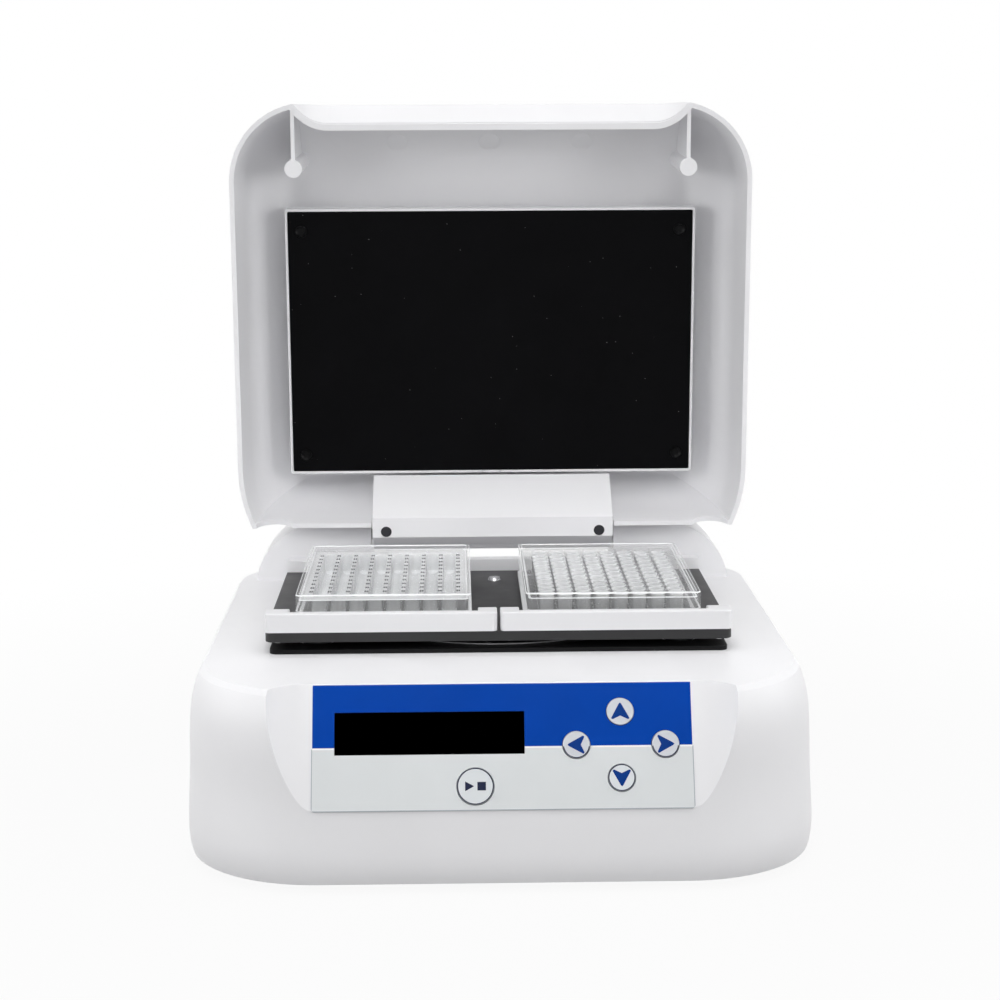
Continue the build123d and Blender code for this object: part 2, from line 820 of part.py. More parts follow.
def motor_bracket():
    """Bent sheet bracket: a floor for the motor and two legs up to the housing's top."""
    x = (motor_x - motor_bracket_width / 2, motor_x + motor_bracket_width / 2)
    reach = motor_bracket_reach
    bracket = block(x, (shaft_y - reach, shaft_y + reach), bracket_z)
    hole_z = (bracket_z[0] - 1, bracket_z[1] + 1)
    bracket = bracket - rod(motor_x, shaft_y, hole_z, motor_boss_radius + 0.2)
    for side in (-1, 1):
        inner, outer = shaft_y + side * (reach - bracket_plate), shaft_y + side * reach
        leg_y = (min(inner, outer), max(inner, outer))
        bracket = bracket + block(x, leg_y, (bracket_z[0], ceiling))
        far = shaft_y + side * (reach + 9)
        foot_y = (min(outer, far), max(outer, far))
        bracket = bracket + block(x, foot_y, (ceiling - bracket_plate, ceiling))
    return bracket


def motor_shaft():
    """Motor shaft, from inside the can down to the pulley."""
    return rod(motor_x, shaft_y, (pulley_z[0] - 2, ceiling - 9), motor_shaft_radius)


def motor_pulley():
    """Small toothed pulley with flanges."""
    pulley = rod(motor_x, shaft_y, pulley_z, motor_pulley_radius)
    for z in pulley_flanges():
        pulley = pulley + rod(motor_x, shaft_y, z, motor_pulley_radius + 2)
    return pulley - rod(motor_x, shaft_y, (pulley_z[0] - 1, pulley_z[1] + 1), motor_shaft_radius)


def belt_loop(offset):
    """Area inside the belt path, at an offset from the pulleys."""
    large = Pos(0, shaft_y) * Circle(driven_pulley_radius + offset)
    small = Pos(motor_x, shaft_y) * Circle(motor_pulley_radius + offset)
    return Pos(0, 0, pulley_z[0] + 1) * make_hull((large + small).edges())


def drive_belt():
    """Closed belt round both pulleys."""
    outer = extrude(belt_loop(loose_gap + belt_thickness), belt_width)
    return outer - extrude(belt_loop(loose_gap), belt_width)


def idler_bearings():
    """Four plain bushes in the housing's bosses."""
    z = (ceiling - bush_height, ceiling - 0.1)
    bore = idler_shaft_radius + running_gap
    return group([ring(x, y, z, bush_radius, bore) for x, y in idler_places()])


def idler_crank(x, y):
    """Idler: shaft in the bush, web, shoulder and offset pin into the tray."""
    pin_y = y - orbit_radius
    shaft = rod(x, y, (ceiling - bush_height - 1, idler_web_z[0]), idler_shaft_radius)
    web = rod(x, y, idler_web_z, idler_web_radius)
    shoulder = rod(x, pin_y, (idler_web_z[1], idler_boss_bottom - 0.1), idler_pin_radius + 1.5)
    pin = rod(x, pin_y, (idler_web_z[1], tray_bottom - 0.5), idler_pin_radius)
    return shaft + web + shoulder + pin


def heater_plate():
    """Black heated plate on the housing's top, with clearance holes for the cranks."""
    z = (base_top, base_top + heater_thickness)
    centre = (0, tray_front_y + heater_depth / 2)
    plate = rounded_plate(heater_width, heater_depth, centre, z, 4)
    plate = plate - rod(0, shaft_y, (z[0] - 1, z[1] + 1), centre_hole_radius)
    for x, y in idler_places():
        plate = plate - rod(x, y, (z[0] - 1, z[1] + 1), idler_boss_radius + orbit_radius + 1)
    return plate


def drive_cover_disc():
    """Round cover over the drive opening, with a hole for the tray's boss."""
    low = base_top + heater_thickness
    z = (low, low + cover_disc_thickness)
    return ring(0, shaft_y, z, cover_disc_radius, centre_hole_radius)


# ---------------------------------------------------------------- tray
def clamp_screw_places(side):
    """Places of the two guide screws of one clamp."""
    inner = clamp_gap / 2 + (pocket_inner_x - clamp_gap / 2) / 2
    outer = (pocket_outer_x + tray_width / 2) / 2
    y = tray_front_y + clamp_block_depth - 2.8
    return [(side * inner, y), (side * outer, y)]


def idler_pins():
    """Places of the idler pins at rest."""
    return [(x, y - orbit_radius) for x, y in idler_places()]


def shaker_tray():
    """Tray plate with bearing bosses below and slots for the clamps' guide screws."""
    centre = (0, tray_centre_y)
    tray = rounded_plate(tray_width, tray_depth, centre, (tray_bottom, tray_top), 5)
    tray = tray + rod(0, tray_centre_y, (tray_boss_bottom, tray_bottom), tray_boss_radius)
    seat = tray_bearing_radius + bearing_seat_gap
    tray = tray - rod(0, tray_centre_y, (tray_boss_bottom - 1, tray_bottom - 0.2), seat)
    for x, y in idler_pins():
        seat = idler_bearing_radius + bearing_seat_gap
        tray = tray + rod(x, y, (idler_boss_bottom, tray_bottom), idler_boss_radius)
        tray = tray - rod(x, y, (idler_boss_bottom - 1, tray_bottom - 0.2), seat)
    for side in (-1, 1):
        for x, y in clamp_screw_places(side):
            width = 2 * (guide_radius + slot_gap)
            slot = SlotCenterToCenter(clamp_travel, width, rotation=90)
            slot = Pos(x, y - clamp_travel / 2, tray_bottom - 1) * slot
            tray = tray - extrude(slot, tray_thickness + 2)
    return tray - rod(0, tray_screw_y, (tray_top - 4, tray_top + 1), 1.6)


def tray_screw():
    """Bright round-headed screw on the tray's middle strip."""
    head = Pos(0, tray_screw_y, tray_top) * extrude(Circle(3.5), 1.4, taper=25)
    head = head - Pos(0, tray_screw_y, tray_top + 1.4) * Box(0.9, 5, 1.0)
    return head + rod(0, tray_screw_y, (tray_top - 3.8, tray_top), 1.5)


def tray_bearings():
    """Centre bearing and four small bearings in the tray's bosses."""
    bore = crank_pin_radius + running_gap
    z = (tray_boss_bottom + 0.1, tray_bottom - 0.3)
    rings = [ring(0, tray_centre_y, z, tray_bearing_radius, bore)]
    z = (idler_boss_bottom + 0.1, tray_bottom - 0.3)
    bore = idler_pin_radius + running_gap
    for x, y in idler_pins():
        rings.append(ring(x, y, z, idler_bearing_radius, bore))
    return group(rings)


def rear_rail():
    """Rear rail with a land behind each microplate."""
    rear = tray_front_y + tray_depth
    z = (tray_top, tray_top + rail_height)
    rail = block((-tray_width / 2, tray_width / 2), (rear - rail_depth, rear), z)
    for side in (-1, 1):
        centre = side * plate_spacing / 2
        half = plate_width / 2 - 8
        land_y = (plate_rear_y + loose_gap, rear - rail_depth)
        rail = rail + block((centre - half, centre + half), land_y, z)
    upright = rail.edges().filter_by(Axis.Z).group_by(Axis.Y)[-1]
    return fillet(upright, 4)


def clamp(side):
    """Spring-loaded front bar with a block at each end."""
    near = side * clamp_gap / 2
    far = side * tray_width / 2
    z = (tray_top, tray_top + clamp_height)
    front = tray_front_y
    x = (min(near, far), max(near, far))
    bar = block(x, (front, front + clamp_block_depth), z)
    pocket = (side * pocket_inner_x, side * pocket_outer_x)
    inside = block(
        (min(pocket), max(pocket)),
        (front + clamp_bar_depth, front + clamp_block_depth + 1),
        (z[0] - 1, z[1] + 1),
    )
    bar = bar - inside
    bar = fillet(bar.edges().filter_by(Axis.Z).group_by(Axis.Y)[0], clamp_corner)
    bar = fillet(bar.edges().group_by(Axis.Z)[-1], 0.8)
    for x, y in clamp_screw_places(side):
        bar = bar - rod(x, y, (tray_top - 1, tray_top + 6), guide_radius - 0.4)
    return bar


def clamp_screws(side):
    """Two shoulder screws that guide a clamp in the tray's slots."""
    screws = []
    for x, y in clamp_screw_places(side):
        head = rod(x, y, (tray_bottom - 1.7, tray_bottom - 0.2), 2.6)
        shoulder = rod(x, y, (tray_bottom - 0.2, tray_top), guide_radius)
        thread = rod(x, y, (tray_top, tray_top + 5.5), guide_radius - 0.5)
        screws.append(head + shoulder + thread)
    return group(screws)


# ---------------------------------------------------------------- microplates
def plate_body(centre_x):
    """Skirted outer form of a microplate, standing on the tray."""
    centre = (centre_x, plate_centre_y)
    low = tray_top
    flange_z = (low, low + plate_flange_height)
    flange = rounded_plate(plate_width, plate_length, centre, flange_z, plate_corner_radius)
    width = plate_width - 2 * plate_step
    length = plate_length - 2 * plate_step
    z = (low + plate_flange_height, low + plate_height)
    return flange + rounded_plate(width, length, centre, z, plate_corner_radius - 1)


def microplate_wells(centre_x):
    """Microplate with a grid of eight by twelve wells."""
    places = GridLocations(plate_pitch, plate_pitch, plate_rows, plate_columns)
    wells = [place * RegularPolygon(well_radius, 6) for place in places]
    wells = Sketch() + wells
    floor = tray_top + plate_height - well_depth
    cut = extrude(Pos(centre_x, plate_centre_y, floor) * wells, well_depth + 1)
    return plate_body(centre_x) - cut


def microplate_strips(centre_x):
    """Microplate with eight lengthwise channels."""
    floor = tray_top + plate_height - well_depth
    plate = plate_body(centre_x)
    length = (plate_columns - 1) * plate_pitch
    for place in GridLocations(plate_pitch, 0, plate_rows, 1):
        channel = place * SlotCenterToCenter(length, 2 * well_radius, rotation=90)
        plate = plate - extrude(Pos(centre_x, plate_centre_y, floor) * channel, well_depth + 1)
    return plate


def microplate_lid(centre_x):
    """Clear lid: roof, skirt and a ledge that rests on the plate's top."""
    centre = (centre_x, plate_centre_y)
    inner = (
        plate_width - 2 * plate_step + 2 * plate_lid_gap,
        plate_length - 2 * plate_step + 2 * plate_lid_gap,
    )
    outer = (inner[0] + 2 * plate_lid_wall, inner[1] + 2 * plate_lid_wall)
    top = tray_top + plate_lid_top
    rest = tray_top + plate_height
    lid = rounded_plate(outer[0], outer[1], centre, (rest - plate_lid_skirt, top), 3)
    lid = lid - rounded_plate(inner[0], inner[1], centre, (rest - plate_lid_skirt - 1, rest), 2.2)
    opening = (inner[0] - 2 * plate_lid_ledge, inner[1] - 2 * plate_lid_ledge)
    return lid - rounded_plate(*opening, centre, (rest - 1, top - plate_lid_wall), 2)


# ---------------------------------------------------------------- electronics
def main_board():
    """Main control board with a few tall components."""
    z = (board_level, board_level + pcb_thickness)
    board = block(main_board_x, main_board_y, z)
    left, front = main_board_x[0], main_board_y[0]
    parts = [((12, 34), (10, 30), 9), ((50, 64), (40, 54), 6), ((80, 104), (12, 24), 11)]
    for x, y, tall in parts:
        low = (left + x[0], left + x[1])
        depth = (front + y[0], front + y[1])
        board = board + block(low, depth, (z[1] - 0.5, z[1] + tall))
    return board


def power_supply():
    """Open supply: board with transformer, capacitors and heat sink."""
    z = (board_level, board_level + pcb_thickness)
    supply = block(supply_x, supply_y, z)
    left, front = supply_x[0], supply_y[0]
    supply = supply + block((left + 26, left + 54), (front + 18, front + 44), (z[1] - 0.5, 40))
    for x in (12, 68):
        supply = supply + rod(left + x, front + 34, (z[1] - 0.5, 38), 7)
    return supply + block((left + 14, left + 66), (front + 50, front + 54), (z[1] - 0.5, 36))


# ---------------------------------------------------------------- hinge
def hinge_brackets():
    """Steel plate in each hump that carries a hinge pin."""
    near = hinge_gap_half_width + hump_wall
    plate = block(
        (near, near + bracket_plate),
        (hump_front_y + hump_wall + 0.6, hump_rear_y - 18),
        (ceiling - 20, base_top + hump_height - hump_wall - 0.8),
    )
    foot = block(
        (near, near + bracket_foot),
        (hump_front_y + hump_wall + 8, hump_rear_y - 18),
        (ceiling - 20, ceiling - 20 + bracket_plate),
    )
    bracket = plate + foot
    bracket = fillet(bracket.edges().filter_by(Axis.X).group_by(Axis.Z)[-1], 4)
    bracket = bracket - rod_x((near - 1, near + 10), hinge_y, hinge_z, hinge_pin_radius)
    return group(mirrored(bracket))


def hinge_pins():
    """Two steel hinge pins, each with a head behind its bracket."""
    near = hinge_gap_half_width + hump_wall + bracket_plate
    pin = rod_x((hinge_block_half_width - 15, near), hinge_y, hinge_z, hinge_pin_radius)
    head = rod_x((near, near + 3), hinge_y, hinge_z, hinge_pin_radius + 1.6)
    return group(mirrored(pin + head))


def hinge_block():
    """Block on the lid that turns on the pins: barrel, flat underside and sloping front."""
    low = lid_rim + 0.2
    front_foot = lid_rear_y - hinge_block_front_set
    rear_foot = hinge_y - hinge_block_rear_set
    front_edge = lid_plate_front_y + lid_plate_depth + frame_border + 0.8
    points = [
        (front_foot, low),
        (rear_foot, low),
        (hinge_y + hinge_barrel_radius, hinge_z),
        (hinge_y, hinge_block_top),
        (front_edge, hinge_block_top),
        (front_edge, hinge_block_top - 1.5),
    ]
    body = side_profile(points, hinge_block_half_width)
    body = body + rod_x(
        (-hinge_block_half_width, hinge_block_half_width), hinge_y, hinge_z, hinge_barrel_radius
    )
    for side in (-1, 1):
        ends = (side * (hinge_block_half_width - 15.5), side * (hinge_block_half_width + 1))
        bore = rod_x((min(ends), max(ends)), hinge_y, hinge_z, hinge_pin_radius + running_gap)
        body = body - bore
        body = body - plug_hole(side)
    return opened(body)


def plug_hole(side):
    """Screw hole up into the block's underside."""
    return rod(side * plug_x, hinge_y - plug_back, (lid_rim - 1, lid_rim + 3.5), plug_radius)


def hinge_block_plugs():
    """Dark plugs in the block's two screw holes."""
    plugs = []
    for side in (-1, 1):
        z = (lid_rim + 0.7, lid_rim + 3.5)
        plugs.append(opened(rod(side * plug_x, hinge_y - plug_back, z, plug_radius - 0.05)))
    return group(plugs)


# ---------------------------------------------------------------- lid
def lid_outline(half_width, front_y, rear_y, front_radius, wall, z):
    """Lid plan: round front corners, and sides that curve in to sharp corners at the rear.

    The rear arcs keep one centre for the lid's outside and inside, so the wall stays even.
    """
    fx = half_width - front_radius
    fy = front_y + front_radius
    radius = lid_rear_radius - wall
    rise = sqrt(lid_rear_radius**2 - (lid_rear_radius - lid_rear_inset) ** 2) - wall
    cx = half_width - radius
    cy = rear_y - rise
    end_x = cx + sqrt(radius**2 - rise**2)
    right = RadiusArc((half_width, cy), (end_x, rear_y), -radius)
    left = RadiusArc((-end_x, rear_y), (-half_width, cy), -radius)
    edges = [
        Line((-fx, front_y), (fx, front_y)),
        CenterArc((fx, fy), front_radius, -90, 90),
        Line((half_width, fy), (half_width, cy)),
        right,
        Line((end_x, rear_y), (-end_x, rear_y)),
        left,
        Line((-half_width, cy), (-half_width, fy)),
        CenterArc((-fx, fy), front_radius, 180, 90),
    ]
    return Pos(0, 0, z) * Face(Wire(edges))


def lid_body(wall):
    """Domed lid, drawn a wall thickness smaller when wall is given.

    The sides lean in by their draft and run on smoothly into a dome with an elliptic profile.
    """
    start_angle = 18
    base_sin, base_cos = sin(radians(start_angle)), cos(radians(start_angle))
    start = lid_rim + lid_straight_side
    rise = lid_height - lid_straight_side - wall
    below = wall / lid_straight_side
    sections = [(lid_rim - wall, -lid_side_draft * below, -lid_rear_draft * below)]
    for angle in (start_angle, 38, 54, 68, 79, 90):
        lean = (base_cos - cos(radians(angle))) / base_cos
        height = start + rise * (sin(radians(angle)) - base_sin) / (1 - base_sin)
        side = lid_side_draft + (lid_side_sweep - lid_side_draft) * lean
        rear = lid_rear_draft + (lid_rear_sweep - lid_rear_draft) * lean
        sections.append((height, side, rear))
    faces = []
    for z, side, rear in sections:
        faces.append(
            lid_outline(
                lid_half_width - side - wall,
                lid_front_y + side + wall,
                lid_rear_y - rear - wall,
                lid_front_radius - wall - 0.6 * side,
                wall,
                z,
            )
        )
    straight = loft(faces[:2], ruled=True)
    return straight + loft(faces[1:])


def lid_scoop(grow):
    """Finger scoop under the lid's front edge."""
    tilt = radians(lid_scoop_tilt)
    return scoop((0, lid_scoop_y, lid_rim), (0, sin(tilt), -cos(tilt)), grow)


def lid_shell():
    """Moulded lid with finger scoop, hinge notch, stop posts, ribs and frame bosses."""
    outer = lid_body(0) - lid_scoop(0)
    inner = lid_body(lid_wall) - lid_scoop(lid_wall)
    shell = outer - inner
    groove_z = lid_rim + scoop_groove_above_rim
    band = block(
        (-lid_half_width, lid_half_width),
        (lid_front_y - 1, 0),
        (groove_z, groove_z + scoop_groove),
    )
    shell = shell - ((lid_scoop(scoop_groove) - lid_scoop(0)) & band)
    notch_top = hinge_block_top + 0.6
    notch = hinge_block_half_width + 0.6
    shell = shell - block((-notch, notch), (lid_rear_y - 12, lid_rear_y + 5), (0, notch_top))
    for side in (-1, 1):
        bite = Pos(side * rear_bite_x, lid_rear_y, lid_rim - rear_bite_drop) * Rot(90, 0, 0)
        shell = shell - bite * Cylinder(rear_bite_radius, 12)
        post_z = (lid_rim + loose_gap, lid_top - 1)
        post = rod(side * post_x, post_y, post_z, post_radius) & outer
        rib = block(
            (side * post_x - 1, side * post_x + 1),
            (lid_front_y, post_y),
            (lid_rim + 0.8, lid_top - 1),
        )
        shell = shell + post + (rib & outer)
    bosses = [(x, y, frame_top) for x, y in frame_boss_places]
    bosses += [(x, y, hinge_block_top) for x, y in block_boss_places]
    for x, y, low in bosses:
        boss = rod(x, y, (low, lid_top - 1), lid_boss_radius) & outer
        shell = shell + boss - rod(x, y, (low - 1, lid_top - lid_wall - 2), screw_radius + 0.1)
    return opened(shell)


def lid_plate_frame():
    """White insulated tray that holds the lid's heated plate, with a snap tab at its rear."""
    z = (plate_face_z + 0.3, frame_top)
    width = lid_plate_width + 2 * frame_border
    depth = lid_plate_depth + 2 * frame_border
    frame = rounded_plate(width, depth, lid_plate_centre, z, frame_corner)
    inside = (lid_plate_width + 0.4, lid_plate_depth + 0.4)
    inside_z = (z[0] - 1, z[1] - frame_back)
    frame = frame - rounded_plate(*inside, lid_plate_centre, inside_z, lid_plate_corner + 0.2)
    rear = lid_plate_centre[1] + depth / 2
    for side in (-1, 1):
        x = side * frame_tab_width / 2
        frame = frame - block(
            (x - frame_tab_slot / 2, x + frame_tab_slot / 2),
            (rear - frame_border, rear + 1),
            (z[0] - 1, z[0] + 5),
        )
    return opened(frame)


def lid_insulation():
    """Foam between the heated plate and the frame's back."""
    z = (plate_face_z + lid_plate_thickness, frame_top - frame_back)
    return opened(rounded_plate(lid_plate_width - 1, lid_plate_depth - 1, lid_plate_centre, z, 2))


def lid_screw_places():
    """Corner screws of the heated plate."""
    sides = (-lid_plate_screw_x, lid_plate_screw_x)
    return [(x, lid_plate_front_y + y) for x in sides for y in lid_plate_screw_y]


def lid_heater_plate():
    """Black heated plate in the lid."""
    z = (plate_face_z, plate_face_z + lid_plate_thickness)
    plate = rounded_plate(lid_plate_width, lid_plate_depth, lid_plate_centre, z, lid_plate_corner)
    for x, y in lid_screw_places():
        plate = plate - rod(x, y, (z[0] - 1, z[0] + 1.5), lid_plate_screw_radius + 0.2)
    return opened(plate)


def lid_plate_screws():
    """Four black screws in the heated plate."""
    low = plate_face_z + 0.3
    screws = []
    for x, y in lid_screw_places():
        head = rod(x, y, (low, low + 1.2), lid_plate_screw_radius)
        head = head - Pos(x, y, low) * Box(3.6, 0.8, 1.2)
        head = head - Pos(x, y, low) * Box(0.8, 3.6, 1.2)
        screws.append(opened(head))
    return group(screws)


# ---------------------------------------------------------------- build
def build():
    """All sub-parts by name."""
    parts = {
        "base_cover": base_cover(),
        "base_pan": base_pan(),
        "rubber_feet": rubber_feet(),
        "pan_screws": pan_screws(),
        "panel_overlay": panel_overlay(),
        "display_window": display_window(),
        "display_module": display_module(),
        "key_board": key_board(),
        "mains_inlet": mains_inlet(),
        "switch_frame": switch_frame(),
        "power_rocker": power_rocker(),
        "heater_plate": heater_plate(),
        "drive_cover_disc": drive_cover_disc(),
        "drive_housing": drive_housing(),
        "main_bearings": main_bearings(),
        "eccentric_shaft": eccentric_shaft(),
        "driven_pulley": driven_pulley(),
        "counterweight": counterweight(),
        "motor_body": motor_body(),
        "motor_bracket": motor_bracket(),
        "motor_shaft": motor_shaft(),
        "motor_pulley": motor_pulley(),
        "drive_belt": drive_belt(),
        "idler_bearings": idler_bearings(),
        "shaker_tray": shaker_tray(),
        "tray_screw": tray_screw(),
        "tray_bearings": tray_bearings(),
        "rear_rail": rear_rail(),
        "main_board": main_board(),
        "power_supply": power_supply(),
        "hinge_brackets": hinge_brackets(),
        "hinge_pins": hinge_pins(),
        "hinge_block": hinge_block(),
        "hinge_block_plugs": hinge_block_plugs(),
        "lid_shell": lid_shell(),
        "lid_plate_frame": lid_plate_frame(),
        "lid_insulation": lid_insulation(),
        "lid_heater_plate": lid_heater_plate(),
        "lid_plate_screws": lid_plate_screws(),
    }
    for number, (x, y) in enumerate(idler_places(), start=1):
        parts[f"idler_crank_{number}"] = idler_crank(x, y)
    for name, x, y, radius in key_places():
        parts[name] = key(x, y, radius)
    for name, side in (("left", -1), ("right", 1)):
        parts[f"clamp_{name}"] = clamp(side)
        parts[f"clamp_screws_{name}"] = clamp_screws(side)
        parts[f"microplate_lid_{name}"] = microplate_lid(side * plate_spacing / 2)
    parts["microplate_left"] = microplate_strips(-plate_spacing / 2)
    parts["microplate_right"] = microplate_wells(plate_spacing / 2)
    return parts


os.makedirs("parts", exist_ok=True)
for node, part in build().items():
    export_step(part, f"parts/{node}.step")
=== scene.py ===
from math import cos, pi, radians, sin

import bpy
from mathutils import Matrix, Vector
from mathutils.geometry import tessellate_polygon


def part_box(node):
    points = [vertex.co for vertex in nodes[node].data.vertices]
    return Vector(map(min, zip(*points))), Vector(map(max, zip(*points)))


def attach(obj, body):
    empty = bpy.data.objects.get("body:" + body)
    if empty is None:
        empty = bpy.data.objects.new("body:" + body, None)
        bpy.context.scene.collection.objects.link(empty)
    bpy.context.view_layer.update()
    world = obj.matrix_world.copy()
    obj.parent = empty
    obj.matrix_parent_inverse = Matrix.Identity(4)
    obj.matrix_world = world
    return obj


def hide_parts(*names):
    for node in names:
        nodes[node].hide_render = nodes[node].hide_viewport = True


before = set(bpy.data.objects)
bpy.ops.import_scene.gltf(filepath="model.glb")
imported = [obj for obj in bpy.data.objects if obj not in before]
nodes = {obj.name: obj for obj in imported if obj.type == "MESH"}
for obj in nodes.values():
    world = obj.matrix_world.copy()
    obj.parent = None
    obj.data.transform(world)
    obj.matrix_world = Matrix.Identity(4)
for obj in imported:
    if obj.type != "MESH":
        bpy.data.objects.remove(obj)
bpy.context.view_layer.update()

mm = 0.001

# ------------------------------------------------------------------ materials


class Nodes:
    """A node tree, with short calls for the nodes that its patterns use."""

    def __init__(self, tree):
        self.tree = tree

    def node(self, kind, **settings):
        made = self.tree.nodes.new(kind)
        for key, value in settings.items():
            setattr(made, key, value)
        return made

    def plug(self, target, value):
        if isinstance(value, bpy.types.NodeSocket):
            self.tree.links.new(value, target)
        else:
            target.default_value = value

    def math(self, operation, *values):
        """Result of a math node; values are numbers or sockets."""
        made = self.node("ShaderNodeMath", operation=operation)
        for socket, value in zip(made.inputs, values):
            self.plug(socket, value)
        return made.outputs[0]

    def between(self, value, low, high, out_low, out_high):
        """Value moved from the range low..high to out_low..out_high."""
        made = self.node("ShaderNodeMapRange")
        for socket, number in zip(made.inputs, (value, low, high, out_low, out_high)):
            self.plug(socket, number)
        return made.outputs[0]

    def seen_share(self):
        """1 for camera, glossy and transmission rays, else 0."""
        path = self.node("ShaderNodeLightPath")
        seen = self.math("MAXIMUM", path.outputs["Is Camera Ray"], path.outputs["Is Glossy Ray"])
        return self.math("MAXIMUM", seen, path.outputs["Is Transmission Ray"])


class Paint(Nodes):
    """One node material: object coordinates in metres feed every pattern."""

    def __init__(self, name, colour, roughness, metallic=0.0, **sockets):
        self.material = bpy.data.materials.new(name)
        self.material.use_nodes = True
        super().__init__(self.material.node_tree)
        self.shader = self.tree.nodes["Principled BSDF"]
        self.place = self.node("ShaderNodeTexCoord").outputs["Object"]
        self.shader.inputs["Base Color"].default_value = (*colour, 1)
        self.shader.inputs["Roughness"].default_value = roughness
        self.shader.inputs["Metallic"].default_value = metallic
        for socket, value in sockets.items():
            self.shader.inputs[socket.replace("_", " ")].default_value = value

    def noise(self, scale, detail=3.0, stretch=(1, 1, 1)):
        """Cloudy 0..1 pattern, squeezed along an axis where stretch is above 1."""
        place = self.place
        if stretch != (1, 1, 1):
            mapping = self.node("ShaderNodeMapping")
            self.plug(mapping.inputs["Vector"], place)
            mapping.inputs["Scale"].default_value = stretch
            place = mapping.outputs[0]
        made = self.node("ShaderNodeTexNoise")
        self.plug(made.inputs["Vector"], place)
        made.inputs["Scale"].default_value = scale
        made.inputs["Detail"].default_value = detail
        made.inputs["Roughness"].default_value = 0.55
        return made.outputs["Fac"]

    def spots(self, scale, size, share):
        """Small sparse round specks: 1 inside, 0 outside."""
        made = self.node("ShaderNodeTexVoronoi")
        self.plug(made.inputs["Vector"], self.place)
        made.inputs["Scale"].default_value = scale
        near = self.math("LESS_THAN", made.outputs["Distance"], size)
        split = self.node("ShaderNodeSeparateColor")
        self.plug(split.inputs[0], made.outputs["Color"])
        chosen = self.math("LESS_THAN", split.outputs[0], share)
        return self.math("MULTIPLY", near, chosen)

    def mix(self, share, a, b):
        """Colour a at share 0 and b at share 1; each is a colour or a socket."""
        made = self.node("ShaderNodeMix", data_type="RGBA")
        self.plug(made.inputs[0], share)
        self.plug(made.inputs[6], a if isinstance(a, bpy.types.NodeSocket) else (*a, 1))
        self.plug(made.inputs[7], b if isinstance(b, bpy.types.NodeSocket) else (*b, 1))
        return made.outputs[2]

    def colour(self, tone):
        """Tone, a socket, becomes the base colour."""
        self.tone = tone
        self.plug(self.shader.inputs["Base Color"], tone)

    def mottle(self, colour, amount, scale):
        """Faint cloudy variation round one colour."""
        dark = [c * (1 - amount) for c in colour]
        light = [min(1, c * (1 + amount)) for c in colour]
        self.colour(self.mix(self.between(self.noise(scale), 0.3, 0.7, 0, 1), dark, light))

    def gloss(self, low, high, scale):
        """Roughness that wanders between two values."""
        self.plug(
            self.shader.inputs["Roughness"],
            self.between(self.noise(scale, 4), 0.3, 0.7, low, high),
        )

    def bump(self, height, depth):
        """Relief from a 0..1 height, depth in metres."""
        made = self.node("ShaderNodeBump")
        made.inputs["Strength"].default_value = 1.0
        made.inputs["Distance"].default_value = depth
        self.plug(made.inputs["Height"], height)
        self.plug(self.shader.inputs["Normal"], made.outputs[0])


def moulded(name, colour, low, high, grain=1800, depth=0.000012, amount=0.012, shine=0.5):
    """Injection-moulded plastic: faint clouds, uneven gloss and a fine spark-eroded grain."""
    paint = Paint(name, colour, low, IOR=1.46, Specular_IOR_Level=shine)
    paint.mottle(colour, amount, 14)
    paint.gloss(low, high, 60)
    paint.bump(paint.noise(grain, 4), depth)
    return paint


def metal(name, colour, low, high, stretch):
    """Machined or drawn metal with fine lines along one direction."""
    paint = Paint(name, colour, low, metallic=1.0)
    paint.mottle(colour, 0.06, 90)
    lines = paint.noise(900, 3, stretch=stretch)
    paint.plug(paint.shader.inputs["Roughness"], paint.between(lines, 0.3, 0.7, low, high))
    paint.bump(lines, 0.000006)
    return paint


def coated(name, colour, low, high, shine, specks=0.0):
    """Black anodised or painted plate with fine tooth and a few dust specks."""
    paint = Paint(name, colour, low, IOR=1.45, Specular_IOR_Level=shine)
    paint.mottle(colour, 0.12, 30)
    if specks:
        dust = paint.math("MULTIPLY", paint.spots(420, 0.09, specks), 0.35)
        paint.colour(paint.mix(dust, paint.tone, (0.5, 0.5, 0.5)))
    paint.gloss(low, high, 35)
    paint.bump(paint.noise(2600, 3), 0.000008)
    return paint


def disc_with_painted_highlight(name, colour, edge, centre, radius, height):
    """Coated disc with a lighter grey ring painted round its upper outer edge as a painted highlight;
    centre, radius and height in metres.
    """
    paint = coated(name, colour, 0.34, 0.46, 0.1, specks=0.03)
    apart = paint.node("ShaderNodeVectorMath", operation="DISTANCE")
    paint.plug(apart.inputs[0], paint.place)
    apart.inputs[1].default_value = (*centre, height)
    split = paint.node("ShaderNodeSeparateXYZ")
    paint.plug(split.inputs[0], paint.place)
    width = 0.45 * mm
    outer = paint.math("GREATER_THAN", apart.outputs["Value"], radius - width)
    upper = paint.math("GREATER_THAN", split.outputs[2], height - width)
    cloud = paint.between(paint.noise(90), 0.3, 0.7, 0.7, 1.0)
    # lighter grey ring round the upper outer edge: a painted highlight
    painted_highlight = paint.math("MULTIPLY", paint.math("MULTIPLY", outer, upper), cloud)
    paint.colour(paint.mix(painted_highlight, paint.tone, edge))
    return paint


